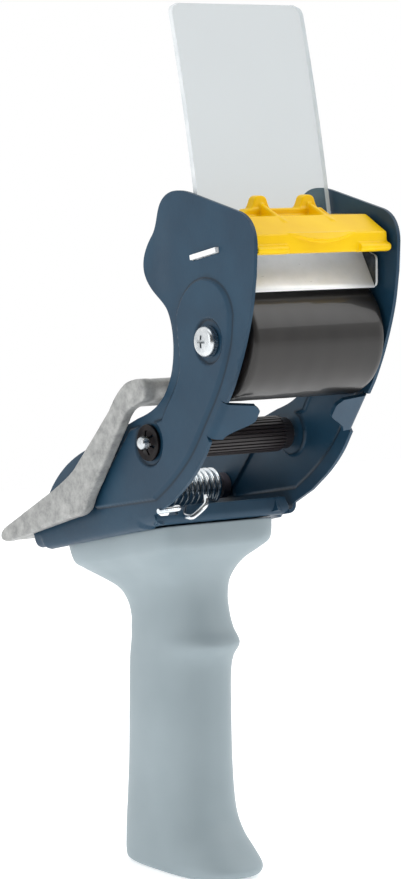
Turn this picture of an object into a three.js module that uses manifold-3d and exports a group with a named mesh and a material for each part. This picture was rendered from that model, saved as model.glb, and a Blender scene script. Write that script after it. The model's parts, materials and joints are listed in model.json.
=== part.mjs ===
// A hand-held packing tape dispenser: a folded steel frame on a moulded pistol grip, with a soft front
// roller, a fluted pinch roller, a sprung roll-holding arm, a cutter with a sprung guard and a clear flap.
// Millimetres, +Z up, +X across the tape, the front (roller side) towards -Y.
// The origin is on the flat foot of the grip.
import * as THREE from "three";
import { mergeVertices } from "three/addons/utils/BufferGeometryUtils.js";
import Module from "manifold-3d";

const wasm = await Module();
wasm.setup();

// ---- driving dimensions ----
const SHEET = 1.2; // steel sheet of the frame
const GAP = 0.3; // clearance between touching pieces
const FRAME_HALF = 27.8; // half the outside width of the frame
const FRAME_INNER = FRAME_HALF - SHEET; // room for a 50 mm tape between the side plates
const EMBOSS = 0.8; // how far the stiffening panels stand out
const BASE_TILT = THREE.MathUtils.degToRad(-11.4); // the base falls towards the rear
const BASE_FRONT = { y: -17.6, z: 114.6 }; // lower front edge of the base
const BASE_LENGTH = 69.5;
const BEND = 3.2; // outer radius of the folds between base and sides
const LIP = 5.5; // upturned front lip of the base
const ROLLER = { y: -46.1, z: 173.4, r: 18.5, half: 25 }; // front roller
const PINCH = { y: -15, z: 140.2, r: 5.7, half: 24.8, flutes: 16 }; // fluted roller
const PIVOT = { y: 20, z: 120 }; // hinge of the roll-holding arm
const GUARD_PIN = { y: -44, z: 205.2, r: 1.5 }; // hinge of the cutter guard
const SHELF_RISE = THREE.MathUtils.degToRad(12.5); // the cutter shelf rises towards the front
const SHELF = { y: -43.8, z: 199.7, half: 6.7, thick: 1.8 }; // middle of the shelf's tab
const SLOT_PLAY = 0.35; // clearance round the shelf's tabs
const HANDLE_SCREWS = [13, 53]; // distances back from the base's front edge
const RIVETS = [-15, 15]; // rivets that hold the blade on the shelf
const FLAP_FOOT = { y: -37.5, z: 210.1 }; // where the flap bends, at the top of its clamp

// ---- solids ----
function solid(geometry) {
  const g = geometry.index ? geometry.toNonIndexed() : geometry.clone();
  g.deleteAttribute("normal");
  g.deleteAttribute("uv");
  const m = mergeVertices(g, 1e-4);
  return new wasm.Manifold(new wasm.Mesh({
    numProp: 3,
    vertProperties: new Float32Array(m.attributes.position.array),
    triVerts: new Uint32Array(m.index.array),
  }));
}

function toGeometry(body) {
  const m = body.getMesh();
  const v = new Float32Array(m.numVert * 3);
  for (let i = 0; i < m.numVert; i++) {
    v.set(m.vertProperties.subarray(i * m.numProp, i * m.numProp + 3), i * 3);
  }
  const g = new THREE.BufferGeometry();
  g.setAttribute("position", new THREE.BufferAttribute(v, 3));
  g.setIndex(new THREE.BufferAttribute(new Uint32Array(m.triVerts), 1));
  g.computeVertexNormals();
  return g;
}

const join = (...bodies) => bodies.reduce((a, b) => a.add(b));
const cut = (body, ...tools) => tools.reduce((a, b) => a.subtract(b), body);

// A shape drawn in (y, z) becomes a slab from x0 to x1.
function slab(shape, x0, x1, curveSegments = 10) {
  const g = new THREE.ExtrudeGeometry(shape, { depth: x1 - x0, bevelEnabled: false, curveSegments });
  g.applyMatrix4(new THREE.Matrix4().set(0, 0, 1, x0, 1, 0, 0, 0, 0, 1, 0, 0, 0, 0, 0, 1));
  return solid(g);
}

// The same with rounded edges: bevel is the edge's size.
function softSlab(shape, x0, x1, bevel, curveSegments = 6) {
  const g = new THREE.ExtrudeGeometry(shape, {
    depth: x1 - x0 - 2 * bevel,
    bevelEnabled: true,
    bevelThickness: bevel,
    bevelSize: bevel,
    bevelOffset: -bevel,
    bevelSegments: 2,
    curveSegments,
  });
  g.applyMatrix4(new THREE.Matrix4().set(0, 0, 1, x0 + bevel, 1, 0, 0, 0, 0, 1, 0, 0, 0, 0, 0, 1));
  return solid(g);
}

// A profile of [radius, x] points turned about the axis through (y, z) along X.
function turned(profile, at, segments = 32) {
  const g = new THREE.LatheGeometry(pairs(profile), segments);
  g.rotateZ(-Math.PI / 2);
  g.translate(0, at.y, at.z);
  return solid(g);
}

// A rod from x0 to x1, and a tube that closes on itself.
const rod = (at, r, x0, x1, segments = 24) =>
  turned([[0, x0], [r, x0], [r, x1], [0, x1]], at, segments);
const tube = (at, r, bore, x0, x1, segments = 32) =>
  turned([[bore, x0], [r, x0], [r, x1], [bore, x1], [bore, x0]], at, segments);

function box(x0, x1, y0, y1, z0, z1) {
  const g = new THREE.BoxGeometry(x1 - x0, y1 - y0, z1 - z0);
  g.translate((x0 + x1) / 2, (y0 + y1) / 2, (z0 + z1) / 2);
  return solid(g);
}

// A wire along a curve.
function wire(curve, radius, steps, sides = 6) {
  const section = new THREE.Shape();
  for (let i = 0; i <= sides; i++) {
    const a = (i / sides) * Math.PI * 2;
    const p = [radius * Math.cos(a), radius * Math.sin(a)];
    if (i === 0) section.moveTo(...p);
    else section.lineTo(...p);
  }
  return solid(new THREE.ExtrudeGeometry(section, { steps, extrudePath: curve, bevelEnabled: false }));
}

const vec = (x, y, z) => new THREE.Vector3(x, y, z);
const pairs = (list) => list.map(([a, b]) => new THREE.Vector2(a, b));
const span = (a, b) => [Math.min(a, b), Math.max(a, b)];

function material(colour, roughness, metalness) {
  return () => new THREE.MeshStandardMaterial({ color: colour, roughness, metalness });
}
const bluePaint = material(0x3c5567, 0.5, 0.3);
const greyPlastic = material(0x9fb0b8, 0.55, 0);
const darkRubber = material(0x3a322f, 0.35, 0);
const blackPlastic = material(0x1c1b1c, 0.45, 0);
const zincSteel = material(0xc9ced2, 0.3, 0.9);
const castMetal = material(0xa9a8a2, 0.6, 0.7);
const brightChrome = material(0xe8ebee, 0.12, 1);
const bladeSteel = material(0xb5b9bd, 0.25, 1);
const yellowPlastic = material(0xf6cf20, 0.3, 0);
const clearSheet = material(0xdde3e8, 0.15, 0);

const dispenser = new THREE.Group();
const baseFrame = new THREE.Group(); // carries what sits square to the tilted base
baseFrame.position.set(0, BASE_FRONT.y, BASE_FRONT.z);
baseFrame.rotation.x = BASE_TILT;
dispenser.add(baseFrame);

function part(name, body, paint, parent = dispenser) {
  const mesh = new THREE.Mesh(toGeometry(body), paint());
  mesh.name = name;
  parent.add(mesh);
  return mesh;
}

// A point of the side view given along the base (back from the front edge, up from the underside).
function onBase(back, up) {
  const c = Math.cos(BASE_TILT);
  const s = Math.sin(BASE_TILT);
  return [BASE_FRONT.y + back * c - up * s, BASE_FRONT.z + back * s + up * c];
}

// ---- side plates ----
function plateOutline() {
  const s = new THREE.Shape();
  const seam = BEND + GAP;
  s.moveTo(...onBase(0.2, seam));
  s.lineTo(-26.1, 122.8);
  s.splineThru(pairs([[-35, 129.7], [-41.3, 136.3], [-47.7, 144.8], [-55.6, 157], [-62.2, 171],
    [-66.1, 183], [-67.9, 194]]));
  s.lineTo(-68.3, 203);
  s.bezierCurveTo(-68.1, 208, -65.6, 211.4, -60.5, 212.7);
  s.lineTo(-36.5, 217.6);
  s.bezierCurveTo(-30, 219, -23.4, 218.8, -20, 214.2);
  s.bezierCurveTo(-17.9, 211.4, -17.8, 207.4, -15, 204.2);
  s.bezierCurveTo(-10.6, 199.4, -9.2, 195, -11.6, 191.2);
  s.bezierCurveTo(-14.2, 186.8, -20.6, 185.6, -23.9, 181.7);
  s.bezierCurveTo(-27.6, 176.6, -28.4, 166.6, -25, 159.7);
  s.bezierCurveTo(-21.6, 152.4, -15.6, 149.6, -8.3, 147.2);
  s.lineTo(20.1, 135.1);
  s.bezierCurveTo(31.6, 130.6, 38.6, 124.6, 43.4, 117);
  s.lineTo(...onBase(70.8, 5.4));
  s.lineTo(...onBase(69.3, seam));
  s.closePath();
  return s;
}

// The raised stiffening panel, drawn smaller by k on its hollow side.
function panelOutline(k) {
  const s = new THREE.Shape();
  s.moveTo(-18 - k, 124 + k);
  s.splineThru(pairs([[-27, 129 + k], [-36.6 + k, 138 + k], [-44.4 + k, 149], [-51.4 + k, 160],
    [-56.4 + k, 172], [-57.6 + k, 182]]));
  s.bezierCurveTo(-56.6 + k, 188.6, -50.8, 192.4 - k, -44.4, 192.4 - k);
  s.bezierCurveTo(-37, 192.4 - k, -31, 186.8, -29.4 - k, 181);
  s.bezierCurveTo(-28.4 - k, 177, -31.4 - k, 169, -30.8 - k, 164);
  s.bezierCurveTo(-30 - k, 158.4, -23.4 - k, 152.6, -21.6 - k, 148);
  s.lineTo(-5 - k, 142.6 - k);
  s.lineTo(9 - k, 134 - k);
  s.lineTo(14.4 - k, 116 + k);
  s.closePath();
  return s;
}

const disc = (at, r) => new THREE.Shape().absarc(at.y, at.z, r, 0, Math.PI * 2, false);

function slotOutline(half, thick) {
  const c = Math.cos(SHELF_RISE);
  const s = Math.sin(SHELF_RISE);
  const corner = (along, up) => [SHELF.y - along * c + up * s, SHELF.z + along * s + up * c];
  const shape = new THREE.Shape();
  shape.moveTo(...corner(-half, -thick / 2));
  shape.lineTo(...corner(half, -thick / 2));
  shape.lineTo(...corner(half, thick / 2));
  shape.lineTo(...corner(-half, thick / 2));
  shape.closePath();
  return shape;
}

// The flange bent inwards at the front edge, below the roller. side is -1 (left) or 1 (right).
function frontTab(side) {
  const top = { y: -53.6, z: 154.6 };
  const low = { y: -46.2, z: 143.6 };
  const length = Math.hypot(top.y - low.y, top.z - low.z);
  const reach = 13.6;
  const open = THREE.MathUtils.degToRad(8); // the tab is bent a little less than square
  const s = new THREE.Shape();
  s.moveTo(0, 0);
  s.lineTo(0, -length);
  s.lineTo(5.4, -length);
  s.quadraticCurveTo(reach - 4, -length + 2, reach + 0.4, -6);
  s.quadraticCurveTo(reach + 0.9, 0, reach - 2.2, 0);
  s.closePath();
  const g = new THREE.ExtrudeGeometry(s, { depth: SHEET, bevelEnabled: false, curveSegments: 4 });
  const along = vec(0, top.y - low.y, top.z - low.z).normalize();
  const inwards = vec(-side, 0, 0).applyAxisAngle(along, side * open);
  const back = new THREE.Vector3().crossVectors(inwards, along);
  g.applyMatrix4(new THREE.Matrix4().makeBasis(inwards, along, back));
  const lean = back.y < 0 ? SHEET : 0;
  g.translate(side * (FRAME_INNER + 0.6), top.y - back.y * lean, top.z - back.z * lean);
  return solid(g);
}

function sidePlate(side) {
  const out = side * FRAME_HALF;
  const inner = side * FRAME_INNER;
  const proud = side * (FRAME_HALF + EMBOSS);
  const hollow = side * (FRAME_INNER + EMBOSS);
  let body = slab(plateOutline(), ...span(inner, out), 5);
  body = join(body, slab(panelOutline(0), ...span(side * (FRAME_INNER + 0.7), proud), 5));
  body = cut(body, slab(panelOutline(SHEET), ...span(side * (FRAME_INNER - 1), hollow), 5));
  // the panel dips back to the sheet around the roller screw and the push nut
  for (const [at, r] of [[ROLLER, 6.9], [PINCH, 7.3]]) {
    body = cut(body, slab(disc(at, r), ...span(out, side * (FRAME_HALF + 2)), 12));
    body = join(body, slab(disc(at, r + 0.6), ...span(inner, side * (FRAME_INNER + 1.2)), 12));
  }
  body = join(body, frontTab(side));
  const through = span(side * (FRAME_INNER - 2), side * (FRAME_HALF + 3));
  return cut(
    body,
    slab(disc(ROLLER, 2.4), ...through, 10),
    slab(disc(PINCH, 2.4), ...through, 10),
    slab(disc(PIVOT, 2.85), ...through, 10),
    slab(slotOutline(SHELF.half + SLOT_PLAY, SHELF.thick + 2 * SLOT_PLAY), ...through, 2),
  );
}

part("left_side_plate", sidePlate(-1), bluePaint);
part("right_side_plate", sidePlate(1), bluePaint);

// ---- base: the web of the folded frame, with its bends and front lip ----
function baseWeb() {
  const h = FRAME_HALF;
  const inner = BEND - SHEET;
  const s = new THREE.Shape();
  s.moveTo(-h, BEND);
  s.absarc(-h + BEND, BEND, BEND, Math.PI, 1.5 * Math.PI, false);
  s.absarc(h - BEND, BEND, BEND, 1.5 * Math.PI, 2 * Math.PI, false);
  s.lineTo(h - SHEET, BEND);
  s.absarc(h - BEND, BEND, inner, 0, -Math.PI / 2, true);
  s.absarc(-h + BEND, BEND, inner, -Math.PI / 2, -Math.PI, true);
  s.closePath();
  const g = new THREE.ExtrudeGeometry(s, { depth: BASE_LENGTH, bevelEnabled: false, curveSegments: 5 });
  g.rotateX(Math.PI / 2);
  g.translate(0, BASE_LENGTH, 0);
  const web = solid(g);
  const lip = box(-23.5, 23.5, 0, SHEET, 0.5, LIP);
  const notch = box(-18.5, -2.5, -1, SHEET + 1, LIP - 1.4, LIP + 1);
  const holes = HANDLE_SCREWS.map((back) => drill(back, 2.2));
  return cut(join(web, lip), notch, ...holes);
}

// A turned solid square to the base, at a distance back from its front edge, in the base's own frame.
function uprightGeometry(profile, back, segments) {
  const g = new THREE.LatheGeometry(pairs(profile), segments);
  g.rotateX(Math.PI / 2);
  return g.translate(0, back, 0);
}
const upright = (profile, back, segments = 20) => solid(uprightGeometry(profile, back, segments));
const drill = (back, r) => upright([[0, -6], [r, -6], [r, 6], [0, 6]], back);

part("base_web", baseWeb(), bluePaint, baseFrame);

// ---- grip ----
// Each ring of the grip is a rounded section between a front and a rear point of the side view.
// n is the squareness of its front and rear halves: 2 is an ellipse, higher is squarer.
const saddle = (back0, back1, up) => ({ front: onBase(back0, up), rear: onBase(back1, up) });
const GRIP_RINGS = [
  { front: [-22.8, 0], rear: [22.8, 0], half: 12.6, n: [2.6, 4] },
  { front: [-26, 1.2], rear: [24.8, 1.2], half: 14.1, n: [2.7, 4] },
  { front: [-27.2, 3.8], rear: [25.4, 3.8], half: 14.4, n: [2.7, 4] },
  { front: [-23.8, 7.4], rear: [25.8, 7.4], half: 14.2, n: [2.6, 3.8] },
  { front: [-17.6, 12.6], rear: [26.3, 12.6], half: 13.9, n: [2.5, 3.4] },
  { front: [-13.6, 20], rear: [26.6, 20], half: 13.6, n: [2.4, 3] },
  { front: [-12.2, 34], rear: [26.8, 34], half: 13.2, n: [2.3, 2.7] },
  { front: [-11.6, 52], rear: [27, 52], half: 13, n: [2.3, 2.6] },
  { front: [-11.7, 64], rear: [26.9, 64], half: 12.9, n: [2.3, 2.6] },
  { front: [-13.2, 69.5], rear: [26.7, 68], half: 12.9, n: [2.3, 2.6] },
  { front: [-16.6, 74.2], rear: [26.3, 72], half: 13, n: [2.3, 2.6] },
  { front: [-12.8, 78.4], rear: [25.8, 76], half: 13, n: [2.3, 2.6] },
  { front: [-10.4, 83], rear: [25.6, 80], half: 13, n: [2.3, 2.6] },
  { front: [-8.8, 89], rear: [26.8, 84.2], half: 13.2, n: [2.4, 2.8] },
  { front: [-9.2, 95], rear: [30.2, 88], half: 14.2, n: [2.6, 3.2] },
  { front: [-11.6, 100.6], rear: [37.2, 91.2], half: 17, n: [3.4, 4.2] },
  { ...saddle(5, 59.6, -9.2), half: 20.6, n: [5, 6] },
  { ...saddle(3.2, 61.8, -6.6), half: 22.4, n: [7, 7] },
  { ...saddle(2.6, 62.6, -0.5), half: 23, n: [8, 8] },
];

function ringPoints(ring, wall, count) {
  const front = vec(0, ...ring.front);
  const rear = vec(0, ...ring.rear);
  const axis = rear.clone().sub(front);
  const depth = axis.length() / 2 - wall;
  axis.normalize();
  const middle = front.clone().add(rear).multiplyScalar(0.5);
  const half = ring.half - wall;
  const points = [];
  for (let i = 0; i < count; i++) {
    const a = (i / count) * Math.PI * 2;
    const c = Math.cos(a);
    const s = Math.sin(a);
    const n = ring.n[c < 0 ? 0 : 1];
    const along = Math.sign(c) * Math.abs(c) ** (2 / n) * depth;
    const across = Math.sign(s) * Math.abs(s) ** (2 / n) * half;
    points.push(middle.clone().addScaledVector(axis, along).add(vec(across, 0, 0)));
  }
  return points;
}

// A closed loft through rings of points, bottom to top.
function loft(rings) {
  const n = rings[0].length;
  const positions = [];
  const quad = (a, b, c, d) => positions.push(a, b, c, a, c, d);
  for (let k = 0; k + 1 < rings.length; k++) {
    for (let i = 0; i < n; i++) {
      const j = (i + 1) % n;
      quad(rings[k][j], rings[k][i], rings[k + 1][i], rings[k + 1][j]);
    }
  }
  const centre = (ring) => ring.reduce((sum, p) => sum.add(p), vec(0, 0, 0)).divideScalar(n);
  const bottom = centre(rings[0]);
  const top = centre(rings.at(-1));
  for (let i = 0; i < n; i++) {
    const j = (i + 1) % n;
    positions.push(bottom, rings[0][i], rings[0][j]);
    positions.push(top, rings.at(-1)[j], rings.at(-1)[i]);
  }
  return solid(new THREE.BufferGeometry().setFromPoints(positions));
}

function grip() {
  const sides = 32;
  const wall = 2.6;
  const outer = loft(GRIP_RINGS.map((r) => ringPoints(r, 0, sides)));
  // the hollow starts above the foot and opens through the saddle, under the base
  const inner = GRIP_RINGS.slice(3).filter((ring, i, all) => i % 2 === 0 || i > all.length - 3);
  const above = { ...saddle(2.6, 62.6, 3), half: 23, n: [8, 8] };
  const hollow = loft([...inner, above].map((r) => ringPoints(r, wall, 20)));
  let body = cut(outer, hollow);
  const bosses = HANDLE_SCREWS.map((back) => bossFor(back));
  body = join(body, ...bosses.map((b) => b.post.intersect(outer)));
  return cut(body, ...bosses.map((b) => b.bore));
}

// A screw post of the grip that reaches from its wall up to the underside of the base.
function bossFor(back) {
  const placed = (profile) => {
    const g = uprightGeometry(profile, back, 12);
    g.rotateX(BASE_TILT);
    return solid(g.translate(0, BASE_FRONT.y, BASE_FRONT.z));
  };
  return {
    post: placed([[0, -24], [4.4, -24], [4.4, -0.6], [0, -0.6]]),
    bore: placed([[0, -13], [2.1, -13], [2.1, 1], [0, 1]]),
  };
}
part("handle", grip(), greyPlastic);

function panHead(r, height, shank, length) {
  return [[0, -length], [shank, -length], [shank, 0], [r, 0], [r, height * 0.55],
    [r * 0.72, height * 0.92], [0, height]];
}

HANDLE_SCREWS.forEach((back, i) => {
  const profile = panHead(4, 2.4, 1.75, 11).map(([r, z]) => [r, z + SHEET + GAP]);
  part(["handle_screw_front", "handle_screw_rear"][i], upright(profile, back), zincSteel, baseFrame);
});

// ---- front roller ----
function rollerSleeve() {
  const { r, half } = ROLLER;
  const bore = r - 3;
  return turned([[bore, -half], [r - 0.8, -half], [r, -half + 0.8], [r, half - 0.8],
    [r - 0.8, half], [bore, half], [bore, -half]], ROLLER, 40);
}

function rollerCore() {
  const rim = ROLLER.r - 3 - GAP;
  const half = ROLLER.half - 0.2;
  const face = half - 5;
  return turned([[4.6, -half - 0.9], [6.6, -half - 0.9], [6.6, -face], [rim - 2.2, -face], [rim - 2.2, -half],
    [rim, -half], [rim, half], [rim - 2.2, half], [rim - 2.2, face], [6.6, face], [6.6, half + 0.9],
    [4.6, half + 0.9], [4.6, -half - 0.9]], ROLLER, 32);
}

const AXLE_END = FRAME_INNER - GAP;
const screwProfile = (headAt) => panHead(4.75, 3.3, 1.75, 14).map(([r, x]) => [r, x + headAt]);

function mirrored(profile) {
  return profile.map(([r, x]) => [r, -x]).reverse();
}

part("roller_sleeve", rollerSleeve(), darkRubber);
part("roller_core", rollerCore(), blackPlastic);
part("roller_axle", cut(
  rod(ROLLER, 4.2, -AXLE_END, AXLE_END, 20),
  rod(ROLLER, 2.05, -AXLE_END - 1, AXLE_END + 1, 16),
), zincSteel);

// A cross recess, cut square to the screw's head.
function crossRecess(at, x0, x1) {
  const long = 2.3;
  const wide = 0.45;
  return join(
    box(x0, x1, at.y - long, at.y + long, at.z - wide, at.z + wide),
    box(x0, x1, at.y - wide, at.y + wide, at.z - long, at.z + long),
  );
}
for (const [name, side] of [["roller_screw_left", -1], ["roller_screw_right", 1]]) {
  const seat = FRAME_HALF + GAP;
  const profile = screwProfile(seat);
  const body = turned(side > 0 ? profile : mirrored(profile), ROLLER, 20);
  const deep = side > 0 ? [seat + 1.8, seat + 4] : [-seat - 4, -seat - 1.8];
  part(name, cut(body, crossRecess(ROLLER, ...deep)), zincSteel);
}

// ---- fluted pinch roller ----
function flutedRoller() {
  const s = new THREE.Shape();
  const step = (Math.PI * 2) / PINCH.flutes;
  const valley = PINCH.r - 0.75;
  const at = (r, a) => [PINCH.y + r * Math.cos(a), PINCH.z + r * Math.sin(a)];
  s.moveTo(...at(PINCH.r, 0));
  for (let i = 0; i < PINCH.flutes; i++) {
    const a = i * step;
    s.lineTo(...at(PINCH.r, a + step * 0.5));
    s.lineTo(...at(valley, a + step * 0.62));
    s.lineTo(...at(valley, a + step * 0.88));
    if (i < PINCH.flutes - 1) s.lineTo(...at(PINCH.r, a + step));
  }
  s.closePath();
  return cut(slab(s, -PINCH.half, PINCH.half), rod(PINCH, 2.35, -PINCH.half - 1, PINCH.half + 1, 16));
}
const PIN_END = FRAME_HALF + 4.6;
const pinProfile = (r, half) => [[0, -half], [r - 0.4, -half], [r, -half + 0.4], [r, half - 0.4],
  [r - 0.4, half], [0, half]];

part("pinch_roller", flutedRoller(), blackPlastic);
part("pinch_pin", turned(pinProfile(2, PIN_END), PINCH, 16), zincSteel);

// A push nut: a dished disc whose bore is cut into tongues by radial slots.
const NUT_SLOTS = 3;
function pushNut(at, side, seat, r, bore) {
  const profile = [[bore, seat + 1.5], [bore, seat + 0.7], [r * 0.72, seat], [r, seat], [r, seat + 0.9],
    [r * 0.76, seat + 0.9], [bore, seat + 1.5]];
  let body = turned(side > 0 ? profile : mirrored(profile), at, 24);
  const [x0, x1] = span(side * seat, side * (seat + 3));
  for (let i = 0; i < NUT_SLOTS; i++) {
    const g = new THREE.BoxGeometry(x1 - x0, 0.9, r * 1.32);
    g.rotateX((i * Math.PI) / NUT_SLOTS);
    g.translate((x0 + x1) / 2, at.y, at.z);
    body = cut(body, solid(g));
  }
  return body;
}
for (const [name, side] of [["push_nut_left", -1], ["push_nut_right", 1]]) {
  part(name, pushNut(PINCH, side, FRAME_HALF + GAP, 5.75, 2.3), blackPlastic);
}

// ---- roll-holding arm ----
const ARM = { inner: 29.4, outer: 33.4 };

function armOutline() {
  const s = new THREE.Shape();
  s.moveTo(-16.4, 152.8);
  s.lineTo(-11.2, 150.8);
  s.quadraticCurveTo(-8.4, 149.6, -6.6, 146.4);
  s.lineTo(7.8, 126.2);
  s.quadraticCurveTo(11.8, 121.4, 13.4, 117.6);
  s.quadraticCurveTo(15.6, 114.4, 21.4, 113.4);
  s.lineTo(43.6, 106.6);
  s.lineTo(59.6, 101.6);
  s.quadraticCurveTo(63.4, 101.2, 63.2, 103.6);
  s.quadraticCurveTo(63, 105.2, 59.9, 106.8);
  s.lineTo(31, 122);
  s.quadraticCurveTo(25, 125.4, 20.4, 128.8);
  s.lineTo(0.6, 149);
  s.quadraticCurveTo(-4.2, 156.2, -8.2, 158);
  s.quadraticCurveTo(-12, 160.4, -17.6, 160.4);
  s.quadraticCurveTo(-19.6, 160, -19.4, 156.6);
  s.quadraticCurveTo(-19.2, 153.8, -16.4, 152.8);
  return s;
}

function fingerOutline() {
  const s = new THREE.Shape();
  s.moveTo(-15.6, 152.9);
  s.lineTo(-9.8, 151);
  s.quadraticCurveTo(-5.6, 150.6, -5.2, 153.6);
  s.quadraticCurveTo(-5.4, 157.2, -9, 158.8);
  s.quadraticCurveTo(-12.6, 160.2, -17, 160.1);
  s.quadraticCurveTo(-19.2, 159.8, -19, 156.8);
  s.quadraticCurveTo(-18.8, 153.8, -15.6, 152.9);
  return s;
}

function padOutline() {
  const s = new THREE.Shape();
  s.moveTo(54.8, 104.2);
  s.lineTo(59.6, 101.8);
  s.quadraticCurveTo(63, 101.4, 62.9, 103.6);
  s.quadraticCurveTo(62.6, 105.2, 59.9, 106.5);
  s.lineTo(56.4, 107.9);
  s.quadraticCurveTo(53.4, 107.2, 54.8, 104.2);
  return s;
}

const SHAFT_R = 2.5;
function rollArm() {
  const arm = softSlab(armOutline(), -ARM.outer, -ARM.inner, 0.9);
  const finger = softSlab(fingerOutline(), -ARM.outer + 0.6, 17, 0.9, 5);
  const pad = softSlab(padOutline(), -ARM.outer + 0.6, -10, 0.9, 5);
  return cut(join(arm, finger, pad), rod(PIVOT, SHAFT_R + GAP, -ARM.outer - 1, -ARM.inner + 1, 20));
}
const SHAFT_END = FRAME_HALF + 3.4;
part("roll_arm", rollArm(), castMetal);
part("arm_shaft", turned([[0, -ARM.outer + 0.4], [SHAFT_R, -ARM.outer + 0.4], [SHAFT_R, SHAFT_END - 0.4],
  [SHAFT_R - 0.4, SHAFT_END], [0, SHAFT_END]], PIVOT, 18), zincSteel);
part("shaft_bush", tube(PIVOT, 4.4, SHAFT_R + GAP, 23.4, FRAME_INNER - GAP, 20), blackPlastic);
part("shaft_push_nut", pushNut(PIVOT, 1, FRAME_HALF + GAP, 5.2, SHAFT_R + GAP), blackPlastic);

// ---- arm spring: a torsion coil round the shaft, one leg hooked over the base's lip ----
const SPRING = { r: 5.35, wire: 0.85, from: -8.8, to: 22.2, turns: 14 };

class SpringCurve extends THREE.Curve {
  constructor(leg) {
    super();
    this.leg = new THREE.CatmullRomCurve3(leg, false, "centripetal");
    this.coilShare = 0.9;
    this.arcLengthDivisions = 3000;
  }
  getPoint(t, target = new THREE.Vector3()) {
    if (t > this.coilShare) return this.leg.getPoint((t - this.coilShare) / (1 - this.coilShare), target);
    const k = t / this.coilShare;
    const a = -Math.PI / 2 + 0.9 - (1 - k) * SPRING.turns * Math.PI * 2;
    const x = SPRING.from + (SPRING.to - SPRING.from) * k;
    return target.set(x, PIVOT.y - SPRING.r * Math.cos(a - 0.9), PIVOT.z + SPRING.r * Math.sin(a - 0.9));
  }
}

function armSpring() {
  const low = [SPRING.to, PIVOT.y, PIVOT.z - SPRING.r];
  const leg = [
    low,
    [SPRING.to - 1.6, PIVOT.y - 3.4, PIVOT.z - SPRING.r - 0.5],
    [6, 1.6, 118.6],
    [-6, -13.6, 121.6],
    [-9.6, -18.9, 120.4],
    [-13.8, -20, 117],
    [-16.4, -20.1, 116.9],
    [-19, -20.1, 118.1],
    [-27.4, -20.1, 118.5],
  ].map((p) => vec(...p));
  return wire(new SpringCurve(leg), SPRING.wire, 150, 5);
}
part("arm_spring", armSpring(), zincSteel);

// ---- cutter bracket: a shelf whose tabs pass through the side plates, an apron and two hinge ears ----
function shelfPoint(along, up) {
  const c = Math.cos(SHELF_RISE);
  const s = Math.sin(SHELF_RISE);
  return [SHELF.y - along * c + up * s, SHELF.z + along * s + up * c];
}
const BRACKET_HALF = FRAME_INNER - 0.9;

function bracketProfile() {
  const t = SHELF.thick / 2;
  const foot = { y: -60.2, z: 187.9 };
  const s = new THREE.Shape();
  s.moveTo(...shelfPoint(-8.6, -t));
  s.lineTo(...shelfPoint(-8.6, t));
  s.lineTo(...shelfPoint(7.4, t));
  s.quadraticCurveTo(...shelfPoint(9, t), -54, 199.2);
  s.lineTo(foot.y - 0.6, foot.z + 0.6);
  s.lineTo(foot.y - 0.9, foot.z - 0.4);
  s.lineTo(foot.y + 0.5, foot.z - 0.5);
  s.lineTo(...shelfPoint(8.4, -t));
  s.closePath();
  return s;
}

function bracket() {
  const main = slab(bracketProfile(), -BRACKET_HALF + 1, BRACKET_HALF - 1, 4);
  const tabs = slab(slotOutline(SHELF.half, SHELF.thick - 0.1), -FRAME_HALF - 1.4, FRAME_HALF + 1.4, 2);
  const ears = [-1, 1].map((side) => {
    const ear = new THREE.Shape();
    ear.moveTo(...shelfPoint(-1.6, 0));
    ear.lineTo(...shelfPoint(3, 0));
    ear.lineTo(GUARD_PIN.y - 2.7, GUARD_PIN.z - 0.6);
    ear.absarc(GUARD_PIN.y, GUARD_PIN.z, 2.7, Math.PI, 0, true);
    ear.closePath();
    return slab(ear, ...span(side * 21.8, side * 22.9), 6);
  });
  const cheeks = [-1, 1].map((side) => {
    const cheek = new THREE.Shape();
    cheek.moveTo(...shelfPoint(7.4, 0));
    cheek.lineTo(-61.4, 198.2);
    cheek.lineTo(-62.4, 190.2);
    cheek.lineTo(-60.4, 188.3);
    cheek.lineTo(-52.6, 195.4);
    cheek.lineTo(...shelfPoint(3, 0));
    cheek.closePath();
    return slab(cheek, ...span(side * 24.1, side * 25.2), 2);
  });
  return cut(
    join(main, tabs, ...ears, ...cheeks),
    rod(GUARD_PIN, GUARD_PIN.r + 0.25, -26, 26, 16),
    ...RIVETS.map((x) => rivetHole(x)),
  );
}

// The blade's rivets stand square to the shelf.
function shelfTurned(profile, x, segments = 14) {
  const g = new THREE.LatheGeometry(pairs(profile), segments);
  g.rotateX(Math.PI / 2 - SHELF_RISE);
  g.translate(x, ...shelfPoint(6.2, 0));
  return solid(g);
}
const rivetHole = (x) => shelfTurned([[0, -6], [1.5, -6], [1.5, 6], [0, 6]], x);

part("cutter_bracket", bracket(), brightChrome);

// ---- blade: a toothed strip on the shelf, its front bent down towards the guard's lip ----
const BLADE = { thick: 0.8, half: 23.1, teeth: 22, tip: 2.2 };

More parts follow.
